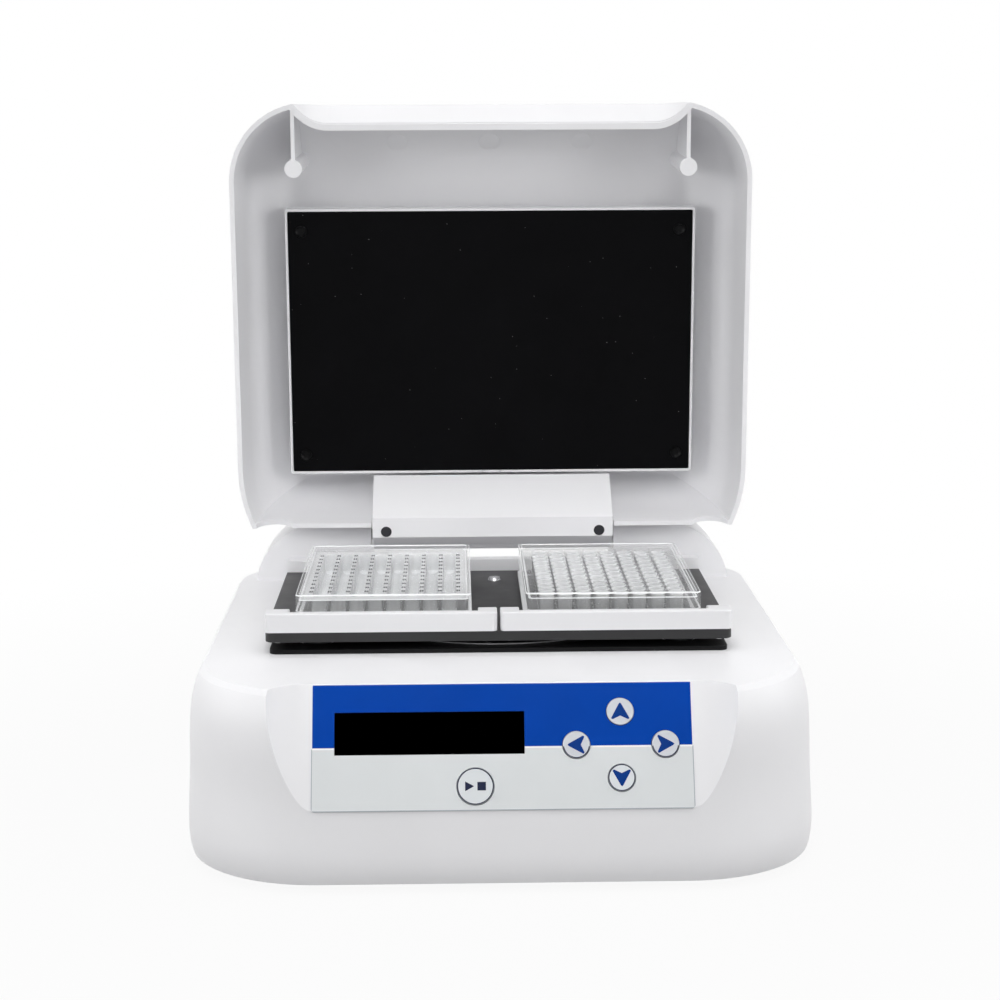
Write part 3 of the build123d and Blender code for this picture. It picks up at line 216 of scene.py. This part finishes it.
def boards(name):
    """Green solder mask with copper traces and solder pads."""
    green = (0.012, 0.13, 0.05)
    paint = Paint(name, green, 0.35, IOR=1.5)
    paint.mottle(green, 0.15, 60)
    brick = paint.node("ShaderNodeTexBrick", offset=0.37, squash=0.6, squash_frequency=3)
    paint.plug(brick.inputs["Vector"], paint.place)
    brick.inputs["Scale"].default_value = 150
    brick.inputs["Mortar Size"].default_value = 0.06
    traces = paint.mix(brick.outputs["Fac"], (0, 0, 0), (1, 1, 1))
    pads = paint.spots(260, 0.22, 0.35)
    copper, solder = (0.05, 0.3, 0.12), (0.75, 0.74, 0.7)
    paint.colour(paint.mix(paint.math("MULTIPLY", brick.outputs["Fac"], 0.55), paint.tone, copper))
    paint.colour(paint.mix(pads, paint.tone, solder))
    paint.bump(traces, 0.00002)
    return paint


white = moulded("white_plastic", (0.862, 0.86, 0.878), 0.3, 0.42)
# clamps: the same white plastic, darkened as painted shade
shaded_bar_white = moulded("bar_plastic_painted_shade", (0.77, 0.77, 0.785), 0.34, 0.46)
pale = moulded("grey_powder_coat", (0.55, 0.56, 0.57), 0.5, 0.62, grain=1500, depth=0.00003)
rubber = moulded("black_rubber", (0.02, 0.02, 0.02), 0.75, 0.9, grain=1200, depth=0.00003)
black = moulded("black_plastic", (0.018, 0.018, 0.02), 0.42, 0.55)
plug_dark = moulded("dark_plug", (0.03, 0.03, 0.035), 0.3, 0.4)
heater = coated("heater_coating", (0.0035, 0.0035, 0.004), 0.34, 0.46, 0.03, specks=0.05)
plate_black = (0.009, 0.009, 0.0095)
base_heater = coated("base_heater_coating", plate_black, 0.34, 0.46, 0.1, specks=0.03)
disc_low, disc_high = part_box("drive_cover_disc")
# the edge colour is the grey of the painted highlight on the disc's rim
disc_paint = disc_with_painted_highlight(
    "cover_disc",
    plate_black,
    edge=(0.34, 0.34, 0.35),
    centre=((disc_low[0] + disc_high[0]) / 2, (disc_low[1] + disc_high[1]) / 2),
    radius=(disc_high[0] - disc_low[0]) / 2,
    height=disc_high[2],
)
tray_paint = coated("tray_anodised", (0.028, 0.028, 0.029), 0.34, 0.46, 0.3, specks=0.02)
screw_paint = coated("black_oxide", (0.002, 0.002, 0.0025), 0.16, 0.26, 0.12)
steel = metal("bright_steel", (0.62, 0.62, 0.63), 0.16, 0.3, (1, 1, 6))
aluminium = metal("machined_aluminium", (0.78, 0.79, 0.8), 0.24, 0.38, (1, 1, 8))
motor = metal("motor_can", (0.42, 0.42, 0.44), 0.3, 0.42, (1, 1, 0.2))
bronze = metal("sintered_bronze", (0.48, 0.29, 0.12), 0.4, 0.55, (1, 1, 1))
board = boards("circuit_board")
foam = moulded("white_foam", (0.78, 0.77, 0.73), 0.9, 1.0, grain=700, depth=0.0002, amount=0.04)
lens = Paint("lens_acrylic", (0.0, 0.0, 0.0), 0.12, IOR=1.49, Specular_IOR_Level=0.0)
lens.gloss(0.1, 0.16, 80)
lens.bump(lens.noise(900, 2), 0.000002)
key_film = moulded("key_film", (0.62, 0.64, 0.68), 0.3, 0.38, grain=2500, depth=0.000006)
key_film_light = moulded(
    "key_film_light", (0.76, 0.79, 0.81), 0.3, 0.38, grain=2500, depth=0.000006, shine=0.1
)
navy = moulded("navy_ink", (0.005, 0.042, 0.24), 0.35, 0.45, grain=2500, depth=0.000004, shine=0.06)
ink = moulded("dark_ink", (0.02, 0.025, 0.06), 0.35, 0.45, grain=2500, depth=0.000004, shine=0.1)

# ------------------------------------------------------------------ control panel film

panel_tilt = radians(25)
panel_up = Vector((0, sin(panel_tilt), cos(panel_tilt)))
panel_out = Vector((0, -cos(panel_tilt), sin(panel_tilt)))
overlay_low, overlay_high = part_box("panel_overlay")
film_thickness = 0.5 * mm
panel_size = (171.8 * mm, 57.6 * mm)
border_width = 0.35 * mm
panel_centre = (overlay_low + overlay_high) / 2
blue_edge = -0.6 * mm
white_line = 0.8 * mm


def on_panel(x, y, lift):
    """Point at a height over the film's face, from its centre, in metres."""
    return panel_centre + Vector((x, 0, 0)) + panel_up * y + panel_out * (film_thickness / 2 + lift)


def panel_film():
    """Blue and light grey printed film with a white line between them, and a thin border painted as edge
    light: a painted highlight along the blue part and painted shade along the grey part.
    """
    blue, grey = (0.0005, 0.053, 0.37), (0.74, 0.765, 0.775)
    line_white = (0.95, 0.95, 0.95)
    painted_edge_shade, painted_edge_highlight = (0.4, 0.43, 0.47), (0.86, 0.88, 0.9)
    paint = Paint("panel_film", grey, 0.35, IOR=1.48, Specular_IOR_Level=0.04)
    dot = paint.node("ShaderNodeVectorMath", operation="DOT_PRODUCT")
    paint.plug(dot.inputs[0], paint.place)
    dot.inputs[1].default_value = panel_up
    up = paint.math("SUBTRACT", dot.outputs["Value"], panel_centre.dot(panel_up))
    split = paint.node("ShaderNodeSeparateXYZ")
    paint.plug(split.inputs[0], paint.place)
    side = paint.math("ABSOLUTE", split.outputs[0])
    cloud = paint.between(paint.noise(30, 4), 0.3, 0.7, 0, 1)
    blue_tone = paint.mix(cloud, blue, [c * 1.12 for c in blue])
    grey_tone = paint.mix(cloud, grey, [c * 1.03 for c in grey])
    above = paint.math("GREATER_THAN", up, blue_edge)
    tone = paint.mix(above, grey_tone, blue_tone)
    line = paint.math("COMPARE", up, blue_edge, white_line / 2)
    border_x = paint.math("GREATER_THAN", side, panel_size[0] / 2 - border_width)
    rise = paint.math("ABSOLUTE", up)
    border_y = paint.math("GREATER_THAN", rise, panel_size[1] / 2 - border_width)
    tone = paint.mix(line, tone, line_white)
    # thin border: painted highlight along the blue part, painted shade along the grey part
    painted_edge_light = paint.mix(above, painted_edge_shade, painted_edge_highlight)
    paint.colour(paint.mix(paint.math("MAXIMUM", border_x, border_y), tone, painted_edge_light))
    paint.gloss(0.3, 0.4, 50)
    paint.bump(paint.noise(2200, 3), 0.000005)
    return paint


film = panel_film()

paints = {
    white: "base_cover rear_rail lid_shell lid_plate_frame hinge_block",
    shaded_bar_white: "clamp_left clamp_right",
    pale: "base_pan",
    rubber: "rubber_feet drive_belt",
    black: "display_module mains_inlet switch_frame power_rocker",
    plug_dark: "hinge_block_plugs",
    heater: "lid_heater_plate",
    base_heater: "heater_plate",
    disc_paint: "drive_cover_disc",
    tray_paint: "shaker_tray",
    screw_paint: "lid_plate_screws",
    steel: "pan_screws main_bearings eccentric_shaft counterweight motor_shaft motor_bracket "
    "tray_screw tray_bearings clamp_screws_left clamp_screws_right hinge_brackets hinge_pins "
    "idler_crank_1 idler_crank_2 idler_crank_3 idler_crank_4",
    aluminium: "drive_housing driven_pulley motor_pulley",
    motor: "motor_body",
    bronze: "idler_bearings",
    board: "key_board main_board power_supply",
    foam: "lid_insulation",
    lens: "display_window",
    key_film: "key_up key_left key_right",
    key_film_light: "key_down key_start",
    film: "panel_overlay",
}
for paint, names in paints.items():
    for name in names.split():
        nodes[name].data.materials.clear()
        nodes[name].data.materials.append(paint.material)

# ------------------------------------------------------------------ mesh helpers

sharp_edge = radians(30)


def piece(name, points, faces, paints, body, tints=()):
    """A mesh that rides on a body, smooth except at sharp edges; tints picks each face's paint."""
    mesh = bpy.data.meshes.new(name)
    mesh.from_pydata([tuple(p) for p in points], [], faces)
    for paint in paints:
        mesh.materials.append(paint.material)
    for polygon, tint in zip(mesh.polygons, tints):
        polygon.material_index = tint
    mesh.shade_smooth()
    mesh.set_sharp_from_angle(angle=sharp_edge)
    made = bpy.data.objects.new(name, mesh)
    bpy.context.scene.collection.objects.link(made)
    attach(made, body)
    return made


def arc(start, end, count):
    """Angles from start to end, both included."""
    return [start + (end - start) * i / (count - 1) for i in range(count)]


def polar(radius, angles, x=0.0, y=0.0):
    """Points at the given angles round a centre."""
    return [(x + radius * cos(a), y + radius * sin(a)) for a in angles]


def circle(x, y, radius, count):
    """Points of a circle, counter-clockwise."""
    return polar(radius, [2 * pi * i / count for i in range(count)], x, y)


def stadium(x, y, reach, radius, count):
    """Points of a slot along Y, with count points on each round end."""
    top = polar(radius, arc(0, pi, count), x, y + reach)
    return top + [(x - (px - x), 2 * y - py) for px, py in top]


def rounded(x, y, width, length, radius, count=5):
    """Points of a rounded rectangle, counter-clockwise."""
    points = []
    across_half, along_half = width / 2 - radius, length / 2 - radius
    signs = ((1, 1), (-1, 1), (-1, -1), (1, -1))
    for quarter, (side, end) in enumerate(signs):
        start = quarter * pi / 2
        cx, cy = side * across_half, end * along_half
        points += polar(radius, arc(start, start + pi / 2, count), x + cx, y + cy)
    return points


class Solid:
    """Closed mesh built from horizontal loops, in millimetres; tint is the paint of the faces made next."""

    def __init__(self):
        self.points, self.faces, self.tints = [], [], []
        self.tint = 0

    def loop(self, outline, z):
        """New points at one height; returns their numbers."""
        first = len(self.points)
        self.points += [(x, y, z) for x, y in outline]
        return list(range(first, first + len(outline)))

    def wall(self, a, b):
        """Quads between two loops; outward when the outline runs counter-clockwise going up."""
        n = len(a)
        self.faces += [(a[i], a[(i + 1) % n], b[(i + 1) % n], b[i]) for i in range(n)]
        self.tints += [self.tint] * n

    def stack(self, levels, tints=()):
        """Walls through (outline, z) levels, with a tint each if given; returns both end loops."""
        loops = [self.loop(outline, z) for outline, z in levels]
        for i, (a, b) in enumerate(zip(loops, loops[1:])):
            self.tint = tints[i] if tints else self.tint
            self.wall(a, b)
        return loops[0], loops[-1]

    def cap(self, outer, holes=(), up=True):
        """Flat face over a loop, with holes."""
        loops = [outer, *holes]
        flat = [[Vector(self.points[i]) for i in loop] for loop in loops]
        index = [i for loop in loops for i in loop]
        for triangle in tessellate_polygon(flat):
            a, b, c = (index[i] for i in triangle)
            pa, pb, pc = (Vector(self.points[i]) for i in (a, b, c))
            if ((pb - pa).cross(pc - pa).z > 0) != up:
                b, c = c, b
            self.faces.append((a, b, c))
            self.tints.append(self.tint)

    def piece(self, name, paints, body, slot):
        """The solid as a piece, where it was drawn."""
        points = [(x * mm, y * mm, z * mm) for x, y, z in self.points]
        return piece(name, points, self.faces, paints, body, self.tints)


# ------------------------------------------------------------------ marks on the keys

# heights over the film and places from the film's centre, in millimetres
key_lift = 0.5
ink_thickness = 0.05
key_centres = {
    "up": (53.3, 15.2),
    "left": (33.2, 0.2),
    "down": (53.3, -14.8),
    "right": (73.4, 0.2),
    "start": (-12.4, -18.0),
}


def mark(key, part, outlines, paint):
    """Thin printed figure on a key: outlines of (outer, *holes) in millimetres from its centre."""
    solid = Solid()
    for outer, *holes in outlines:
        bottom, top = solid.stack([(outer, 0), (outer, ink_thickness)])
        inner = [solid.stack([(hole, ink_thickness), (hole, 0)]) for hole in holes]
        solid.cap(top, [h[0] for h in inner])
        solid.cap(bottom, [h[1] for h in inner], up=False)
    x, y = key_centres[key]
    points = [on_panel((x + px) * mm, (y + py) * mm, (key_lift + pz) * mm) for px, py, pz in solid.points]
    piece(f"key_{key}_{part}", points, solid.faces, [paint], f"key_{key}_cap")


def turned(outline, quarter):
    """Outline turned by quarter turns."""
    c, s = (1, 0, -1, 0)[quarter], (0, 1, 0, -1)[quarter]
    return [(x * c - y * s, x * s + y * c) for x, y in outline]


# arrow head that points up: its right side from the tip down, the notch, and the same side mirrored
dart_side = [(0.6, 3.4), (4.1, -3.0), (3.9, -3.5), (3.3, -3.55)]
dart = [(-x, y) for x, y in dart_side] + [(0.0, -2.0)] + dart_side[::-1] + [(0.0, 4.0)]
for quarter, key in enumerate(("up", "left", "down", "right")):
    mark(key, "arrow", [(turned(dart, quarter),)], navy)

# rings: full on the light half, only the lower arc where the key crosses the blue
ring_inset, ring_width = 0.05, 0.45
arrow_key, start_key = 6.1, 8.25
bare_angle = 0.13
lower_half = arc(pi + bare_angle, 2 * pi - bare_angle, 37)
for key, radius, whole in (
    ("down", arrow_key, True),
    ("start", start_key, True),
    ("left", arrow_key, False),
    ("right", arrow_key, False),
):
    wide = radius - ring_inset
    narrow = wide - ring_width
    if whole:
        outlines = [(circle(0, 0, wide, 72), circle(0, 0, narrow, 72))]
    else:
        outlines = [(polar(wide, lower_half) + polar(narrow, lower_half)[::-1],)]
    mark(key, "ring", outlines, ink)

# start key: a plain run and stop symbol in place of its words
run_symbol = [(-4.6, -2.2), (-0.6, 0.0), (-4.6, 2.2)]
stop_symbol = [(0.9, -1.9), (4.7, -1.9), (4.7, 1.9), (0.9, 1.9)]
mark("start", "symbol", [(run_symbol,), (stop_symbol,)], ink)

# ------------------------------------------------------------------ lid details

# the open lid's inner face at rest
lid_angle = radians(86.5)
lid_out = Vector((0, -sin(lid_angle), -cos(lid_angle)))
lid_up = Vector((0, -cos(lid_angle), sin(lid_angle)))


def on_lid(name, solids, up, out, paint):
    """One piece on the lid from (solid, centre) pairs, each with its Y along up and its Z along out."""
    points, faces = [], []
    for solid, centre in solids:
        faces += [tuple(i + len(points) for i in face) for face in solid.faces]
        middle = Vector(centre)
        points += [(middle + Vector((x, 0, 0)) + up * y + out * z) * mm for x, y, z in solid.points]
    return piece(name, points, faces, [paint], "lid")


def cross(reach, width):
    """Points of a plus sign, counter-clockwise."""
    w = width / 2
    arm = [(reach, -w), (reach, w), (w, w)]
    return [point for quarter in range(4) for point in turned(arm, quarter)]


# screw heads: X either side of the middle, then (Y, Z) of the upper and the lower pair
screw_x = 103.5
screw_rows = ((117.3, 281.78), (124.93, 157.01))


def plate_screws():
    """Four sunk screws with a dished head and a cross recess."""
    profile = ((3.4, -0.6), (3.4, 0.5), (3.3, 0.6), (3.1, 0.6), (2.5, 0.1), (1.9, -0.3))
    solids = []
    for x in (-screw_x, screw_x):
        for y, z in screw_rows:
            solid = Solid()
            back, dish = solid.stack([(circle(0, 0, r, 40), h) for r, h in profile])
            mouth, floor = solid.stack([(cross(1.5, 0.75), -0.3), (cross(1.2, 0.6), -0.55)])
            solid.cap(dish, [mouth])
            solid.cap(floor)
            solid.cap(back, up=False)
            solids.append((solid, (x, y, z)))
    made = on_lid("lid_plate_screws_detail", solids, lid_up, lid_out, screw_paint)
    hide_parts("lid_plate_screws")


# mould marks: spacing along X, then (Y, Z) of the row
mould_mark_spacing = 51.0
mould_mark_place = (133.6, 329.5)


def mould_marks():
    """Three round ejector marks in the corner between the lid's front wall and its top."""
    out = Vector((0, -0.82, -0.572)).normalized()
    up = Vector((0, out.z, -out.y))
    profile = ((5.5, -1.2), (5.5, 0.45), (5.3, 0.55))
    solids = []
    for column in (-1, 0, 1):
        solid = Solid()
        bottom, top = solid.stack([(circle(0, 0, r, 40), h) for r, h in profile])
        solid.cap(top)
        solid.cap(bottom, up=False)
        solids.append((solid, (column * mould_mark_spacing, *mould_mark_place)))
    on_lid("lid_mould_marks", solids, up, out, white)


plate_screws()
mould_marks()

# ------------------------------------------------------------------ microplates


def polystyrene(name, cover, through):
    """Clear polystyrene in thin walls: cover hides what is behind, through is its refracting part."""
    colour = (0.96, 0.97, 0.98)
    paint = Paint(name, colour, 0.03, IOR=1.5, Alpha=cover, Transmission_Weight=through)
    paint.mottle(colour, 0.02, 60)
    paint.gloss(0.02, 0.07, 120)
    paint.bump(paint.noise(400, 2), 0.000004)
    return paint


# a clear wall, a near-white painted highlight for edges and rims, the cloudy round of a well, painted shade
# in a narrow slot
plate_paints = [
    polystyrene("clear_polystyrene", 0.1, 0.4),
    polystyrene("polystyrene_painted_highlight", 0.97, 0.0),
    polystyrene("polystyrene_well", 0.8, 0.0),
    moulded("polystyrene_painted_shade", (0.05, 0.05, 0.055), 0.1, 0.2, shine=0.2),
]
WALL, PAINTED_HIGHLIGHT, WELL, PAINTED_SHADE = range(4)

# a standard microplate: its places come from the frame, its sizes from the standard
plate_low, plate_high = (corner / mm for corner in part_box("microplate_right"))
plate_x, plate_y = (plate_low.x + plate_high.x) / 2, (plate_low.y + plate_high.y) / 2
tray_top = plate_low.z
footprint = (85.48, 127.76)
plate_height, step, step_z = 14.35, 1.9, 2.4
deck, deck_bottom = plate_height - 0.5, plate_height - 1.7
pitch, columns, rows = 9.0, 8, 12
well_radius, well_floor = 3.45, 3.65
cover_top, cover_roof, cover_overlap = 17.0, 1.2, 5.5
body_size = (footprint[0] - 2 * step, footprint[1] - 2 * step)


def along(x, column, count=columns):
    """X of one of so many columns of a plate."""
    return x + (column - (count - 1) / 2) * pitch


def across(row):
    """Y of a row of a plate."""
    return plate_y + (row - (rows - 1) / 2) * pitch


def plate_piece(solid, name, body):
    """The plate or cover as a piece, shown in place of its CAD node."""
    made = solid.piece(name, plate_paints, body, "clear_plastic")
    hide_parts(name.replace("_detail", ""))


def plate_shell(solid, x, tops, undersides, deck_tint):
    """Skirt and deck of a microplate, with the given holes in the deck's two faces."""
    y, z = plate_y, tray_top
    wall, rim_wall, chamfer = 1.2, 1.1, 0.3
    foot = rounded(x, y, *footprint, 3.18)
    foot_edge = rounded(x, y, footprint[0] - 2 * chamfer, footprint[1] - 2 * chamfer, 2.9)
    body = rounded(x, y, *body_size, 2.2)
    rim = rounded(x, y, body_size[0] - 0.5, body_size[1] - 0.5, 2.0)
    inset = rounded(x, y, body_size[0] - 2 * rim_wall, body_size[1] - 2 * rim_wall, 1.5)
    inner = rounded(x, y, body_size[0] - 2 * wall, body_size[1] - 2 * wall, 1.4)
    # chamfers and rims take the painted highlight
    low, top = solid.stack(
        [
            (foot, z),
            (foot, z + step_z - chamfer),
            (foot_edge, z + step_z),
            (body, z + step_z + 0.15),
            (body, z + plate_height - chamfer),
            (rim, z + plate_height),
            (inset, z + plate_height),
            (inset, z + deck),
        ],
        (WALL, PAINTED_HIGHLIGHT, PAINTED_HIGHLIGHT, WALL, PAINTED_HIGHLIGHT, PAINTED_HIGHLIGHT, WALL),
    )
    solid.tint = deck_tint
    solid.cap(top, tops)
    under, mouth = solid.stack([(inner, z + deck_bottom), (inner, z)], (WALL,))
    solid.cap(under, undersides, up=False)
    solid.tint = PAINTED_HIGHLIGHT
    solid.cap(low, [mouth], up=False)


def well_plate(x, name, body):
    """Plate with eight by twelve round wells."""
    solid = Solid()
    z = tray_top
    rim_z, inside_z, floor_z = z + plate_height - 0.05, z + deck - 0.4, z + well_floor
    tops, undersides = [], []
    for row in range(rows):
        for column in range(columns):
            cx, cy = along(x, column), across(row)
            ring = [circle(cx, cy, r, 24) for r in (4.15, 4.05, 3.55, well_radius, 3.2)]
            heights = (z + deck, rim_z, rim_z, inside_z, floor_z)
            # the well's rim takes the painted highlight
            start, floor = solid.stack(zip(ring, heights), (PAINTED_HIGHLIGHT, PAINTED_HIGHLIGHT, PAINTED_HIGHLIGHT, WELL))
            solid.cap(floor)
            tops.append(start)
            outer = [circle(cx, cy, r, 24) for r in (4.1, 3.9, 3.6)]
            heights = (z + deck_bottom, floor_z - 0.6, floor_z - 1.1)
            start, end = solid.stack(zip(outer, heights), (WALL, PAINTED_HIGHLIGHT))
            solid.cap(end, up=False)
            undersides.append(start)
    plate_shell(solid, x, tops, undersides, WALL)
    plate_piece(solid, name, body)


def strip_plate(x, name, body):
    """Plate with eight lengthwise channels and pairs of small slots in the ridges between them."""
    solid = Solid()
    z = tray_top
    reach = (rows - 1) / 2 * pitch
    channel = ((well_radius, deck), (3.3, 7.5), (2.9, 5.3), (2.0, 4.1), (0.8, well_floor))
    underside = ((4.0, deck_bottom), (3.9, 7.5), (3.5, 4.9), (2.5, 3.4), (0.9, 2.8))
    slot_reach, slot_apart = 1.5, 1.04
    slot = ((0.38, deck), (0.3, deck - 0.8))
    tops, undersides = [], []
    for column in range(columns):
        cx = along(x, column)
        levels = [(stadium(cx, plate_y, reach, r, 13), z + h) for r, h in channel]
        # the lower channel walls take the painted highlight
        start, floor = solid.stack(levels, (WELL, WELL, PAINTED_HIGHLIGHT, PAINTED_HIGHLIGHT))
        solid.cap(floor)
        tops.append(start)
        levels = [(stadium(cx, plate_y, reach, r, 13), z + h) for r, h in underside]
        start, floor = solid.stack(levels, (WALL, WELL, PAINTED_HIGHLIGHT, PAINTED_HIGHLIGHT))
        solid.cap(floor, up=False)
        undersides.append(start)
    ridges = columns + 1
    for ridge in range(ridges):
        for row in range(rows):
            for side in (-slot_apart / 2, slot_apart / 2):
                cx = along(x, ridge, ridges) + side
                levels = [(stadium(cx, across(row), slot_reach, r, 4), z + h) for r, h in slot]
                # the slot walls are near-black as painted shade
                start, floor = solid.stack(levels, (PAINTED_SHADE,))
                solid.cap(floor)
                tops.append(start)
    plate_shell(solid, x, tops, undersides, WELL)
    plate_piece(solid, name, body)


def plate_cover(x, name, body, rings):
    """Clear lid: roof with soft edges, skirt, locating ledge and, if asked, a ring over each well."""
    solid = Solid()
    y, z = plate_y, tray_top
    gap, wall, ledge = 0.4, 1.1, 2.4
    roof_z, ceiling_z = z + cover_top, z + cover_top - cover_roof
    mouth_z = z + plate_height - cover_overlap
    inside = (body_size[0] + 2 * gap, body_size[1] + 2 * gap)
    outside = (inside[0] + 2 * wall, inside[1] + 2 * wall)

    def outline(size, inset, radius):
        return rounded(x, y, size[0] - 2 * inset, size[1] - 2 * inset, radius, 6)

    # the roof's rounded edge takes the painted highlight
    mouth, roof = solid.stack(
        [
            (outline(outside, 0, 3.0), mouth_z),
            (outline(outside, 0.1, 2.9), roof_z - 0.5),
            (outline(outside, 0.25, 2.8), roof_z - 0.15),
            (outline(outside, 0.6, 2.5), roof_z),
            (outline(outside, 1.8, 1.8), roof_z),
            (outline(outside, 2.1, 1.7), roof_z - 0.35),
        ],
        (WALL, PAINTED_HIGHLIGHT, PAINTED_HIGHLIGHT, WALL, PAINTED_HIGHLIGHT),
    )
    solid.tint = WALL
    solid.cap(roof)
    under, edge = solid.stack(
        [
            (outline(inside, ledge, 2.0), ceiling_z),
            (outline(inside, ledge, 2.0), z + plate_height),
            (outline(inside, 0, 2.2), z + plate_height),
            (outline(inside, -0.1, 2.2), mouth_z),
        ]
    )
    circles = []
    ring = ((4.2, ceiling_z), (4.15, ceiling_z - 0.4), (3.75, ceiling_z - 0.4), (3.7, ceiling_z))
    if rings:
        for row in range(rows):
            for column in range(columns):
                cx, cy = along(x, column), across(row)
                levels = [(circle(cx, cy, r, 20), height) for r, height in ring]
                outer, inner = solid.stack(levels, (WALL, PAINTED_HIGHLIGHT, WALL))
                circles.append(outer)
                solid.cap(inner, up=False)
    solid.cap(under, circles, up=False)
    solid.tint = PAINTED_HIGHLIGHT
    solid.cap(mouth, [edge], up=False)
    plate_piece(solid, name, body)


strip_plate(-plate_x, "microplate_left_detail", "plate_left")
well_plate(plate_x, "microplate_right_detail", "plate_right")
plate_cover(-plate_x, "microplate_lid_left_detail", "plate_cap_left", rings=False)
plate_cover(plate_x, "microplate_lid_right_detail", "plate_cap_right", rings=True)

# ------------------------------------------------------------------ floor, light, camera

floor_reach = 12.0
corners = ((-1, -1), (1, -1), (1, 1), (-1, 1))
floor_mesh = bpy.data.meshes.new("floor")
floor_mesh.from_pydata([(x * floor_reach, y * floor_reach, 0) for x, y in corners], [], [(0, 1, 2, 3)])
floor = bpy.data.objects.new("floor", floor_mesh)
bpy.context.scene.collection.objects.link(floor)


def floor_material():
    """Matt grey that glows white to the camera, a little less near the object, where its shadow shows."""
    tone = (0.5, 0.5, 0.5)
    near, far = 0.2, 0.6
    paint = Paint("floor_paint", tone, 0.9)
    paint.mottle(tone, 0.01, 3)
    emission = paint.node("ShaderNodeEmission")
    emission.inputs["Strength"].default_value = 1.0
    distance = paint.node("ShaderNodeVectorMath", operation="LENGTH")
    paint.plug(distance.inputs[0], paint.place)
    reach = paint.between(distance.outputs["Value"], near, far, 0.93, 1.0)
    glow = paint.node("ShaderNodeMixShader")
    paint.plug(glow.inputs[0], paint.math("MULTIPLY", paint.seen_share(), reach))
    paint.plug(glow.inputs[1], paint.shader.outputs[0])
    paint.plug(glow.inputs[2], emission.outputs[0])
    paint.plug(paint.tree.nodes["Material Output"].inputs["Surface"], glow.outputs[0])
    return paint.material


floor_mesh.materials.append(floor_material())

# white where it is seen, dimmer as a light
world = bpy.data.worlds.new("studio")
bpy.context.scene.world = world
world.use_nodes = True
studio = Nodes(world.node_tree)
world_light, world_seen = 0.3, 1.0
background = studio.tree.nodes["Background"]
background.inputs["Color"].default_value = (1, 1, 1, 1)
strength = studio.between(studio.seen_share(), 0, 1, world_light, world_seen)
studio.plug(background.inputs["Strength"], strength)


def lamp(name, place, target, size, power, spread=180):
    """Soft rectangular lamp aimed at a point; spread in degrees is how wide it shines."""
    data = bpy.data.lights.new(name, "AREA")
    data.shape = "RECTANGLE"
    data.size, data.size_y = size
    data.energy = power
    data.spread = radians(spread)
    made = bpy.data.objects.new(name, data)
    made.location = place
    made.rotation_mode = "QUATERNION"
    made.rotation_quaternion = (Vector(target) - Vector(place)).to_track_quat("-Z", "Y")
    bpy.context.scene.collection.objects.link(made)


lamp("overhead", (0.0, 0.0, 3.2), (0, 0, 0.1), (3.2, 2.8), 40)
lamp("front_box", (0.0, -1.8, 2.0), (0, 0, 0.15), (2.0, 1.2), 11.5)
for side in (-1, 1):
    lamp(f"side_box_{side}", (side * 1.5, -0.1, 0.6), (0, 0.1, 0.2), (1.0, 0.8), 5)
    lamp(f"lid_light_{side}", (side * 0.65, -0.5, 0.38), (0, 0.12, 0.2), (0.35, 0.35), 0.15, 50)

lamp("top_light", (0.0, -0.22, 1.4), (0, -0.2, 0), (0.5, 0.25), 0.09, 24)
lamp("hinge_light", (0.0, -1.1, 0.75), (0, 0.1, 0.13), (0.4, 0.2), 0.05, 18)

# camera solved from the photograph: position in metres, then pitch, yaw and roll in radians
camera_place = (-0.0199, -1.0704, 0.33525)
pitch_down, yaw, roll = 0.1697, 0.0206, -0.0048
sensor_mm, lens_mm = 36.0, 77.496
right = Vector((cos(yaw), -sin(yaw), 0))
forward = Vector((sin(yaw) * cos(pitch_down), cos(yaw) * cos(pitch_down), -sin(pitch_down)))
upward = Vector((sin(yaw) * sin(pitch_down), cos(yaw) * sin(pitch_down), cos(pitch_down)))
rolled_right = right * cos(roll) + upward * sin(roll)
rolled_up = upward * cos(roll) - right * sin(roll)
camera_data = bpy.data.cameras.new("camera")
camera_data.sensor_width = sensor_mm
camera_data.lens = lens_mm
camera = bpy.data.objects.new("camera", camera_data)
axes = Matrix((rolled_right, rolled_up, -forward)).transposed()
camera.matrix_world = Matrix.Translation(camera_place) @ axes.to_4x4()
bpy.context.scene.collection.objects.link(camera)
bpy.context.scene.camera = camera
bpy.context.scene.view_settings.view_transform = "Standard"
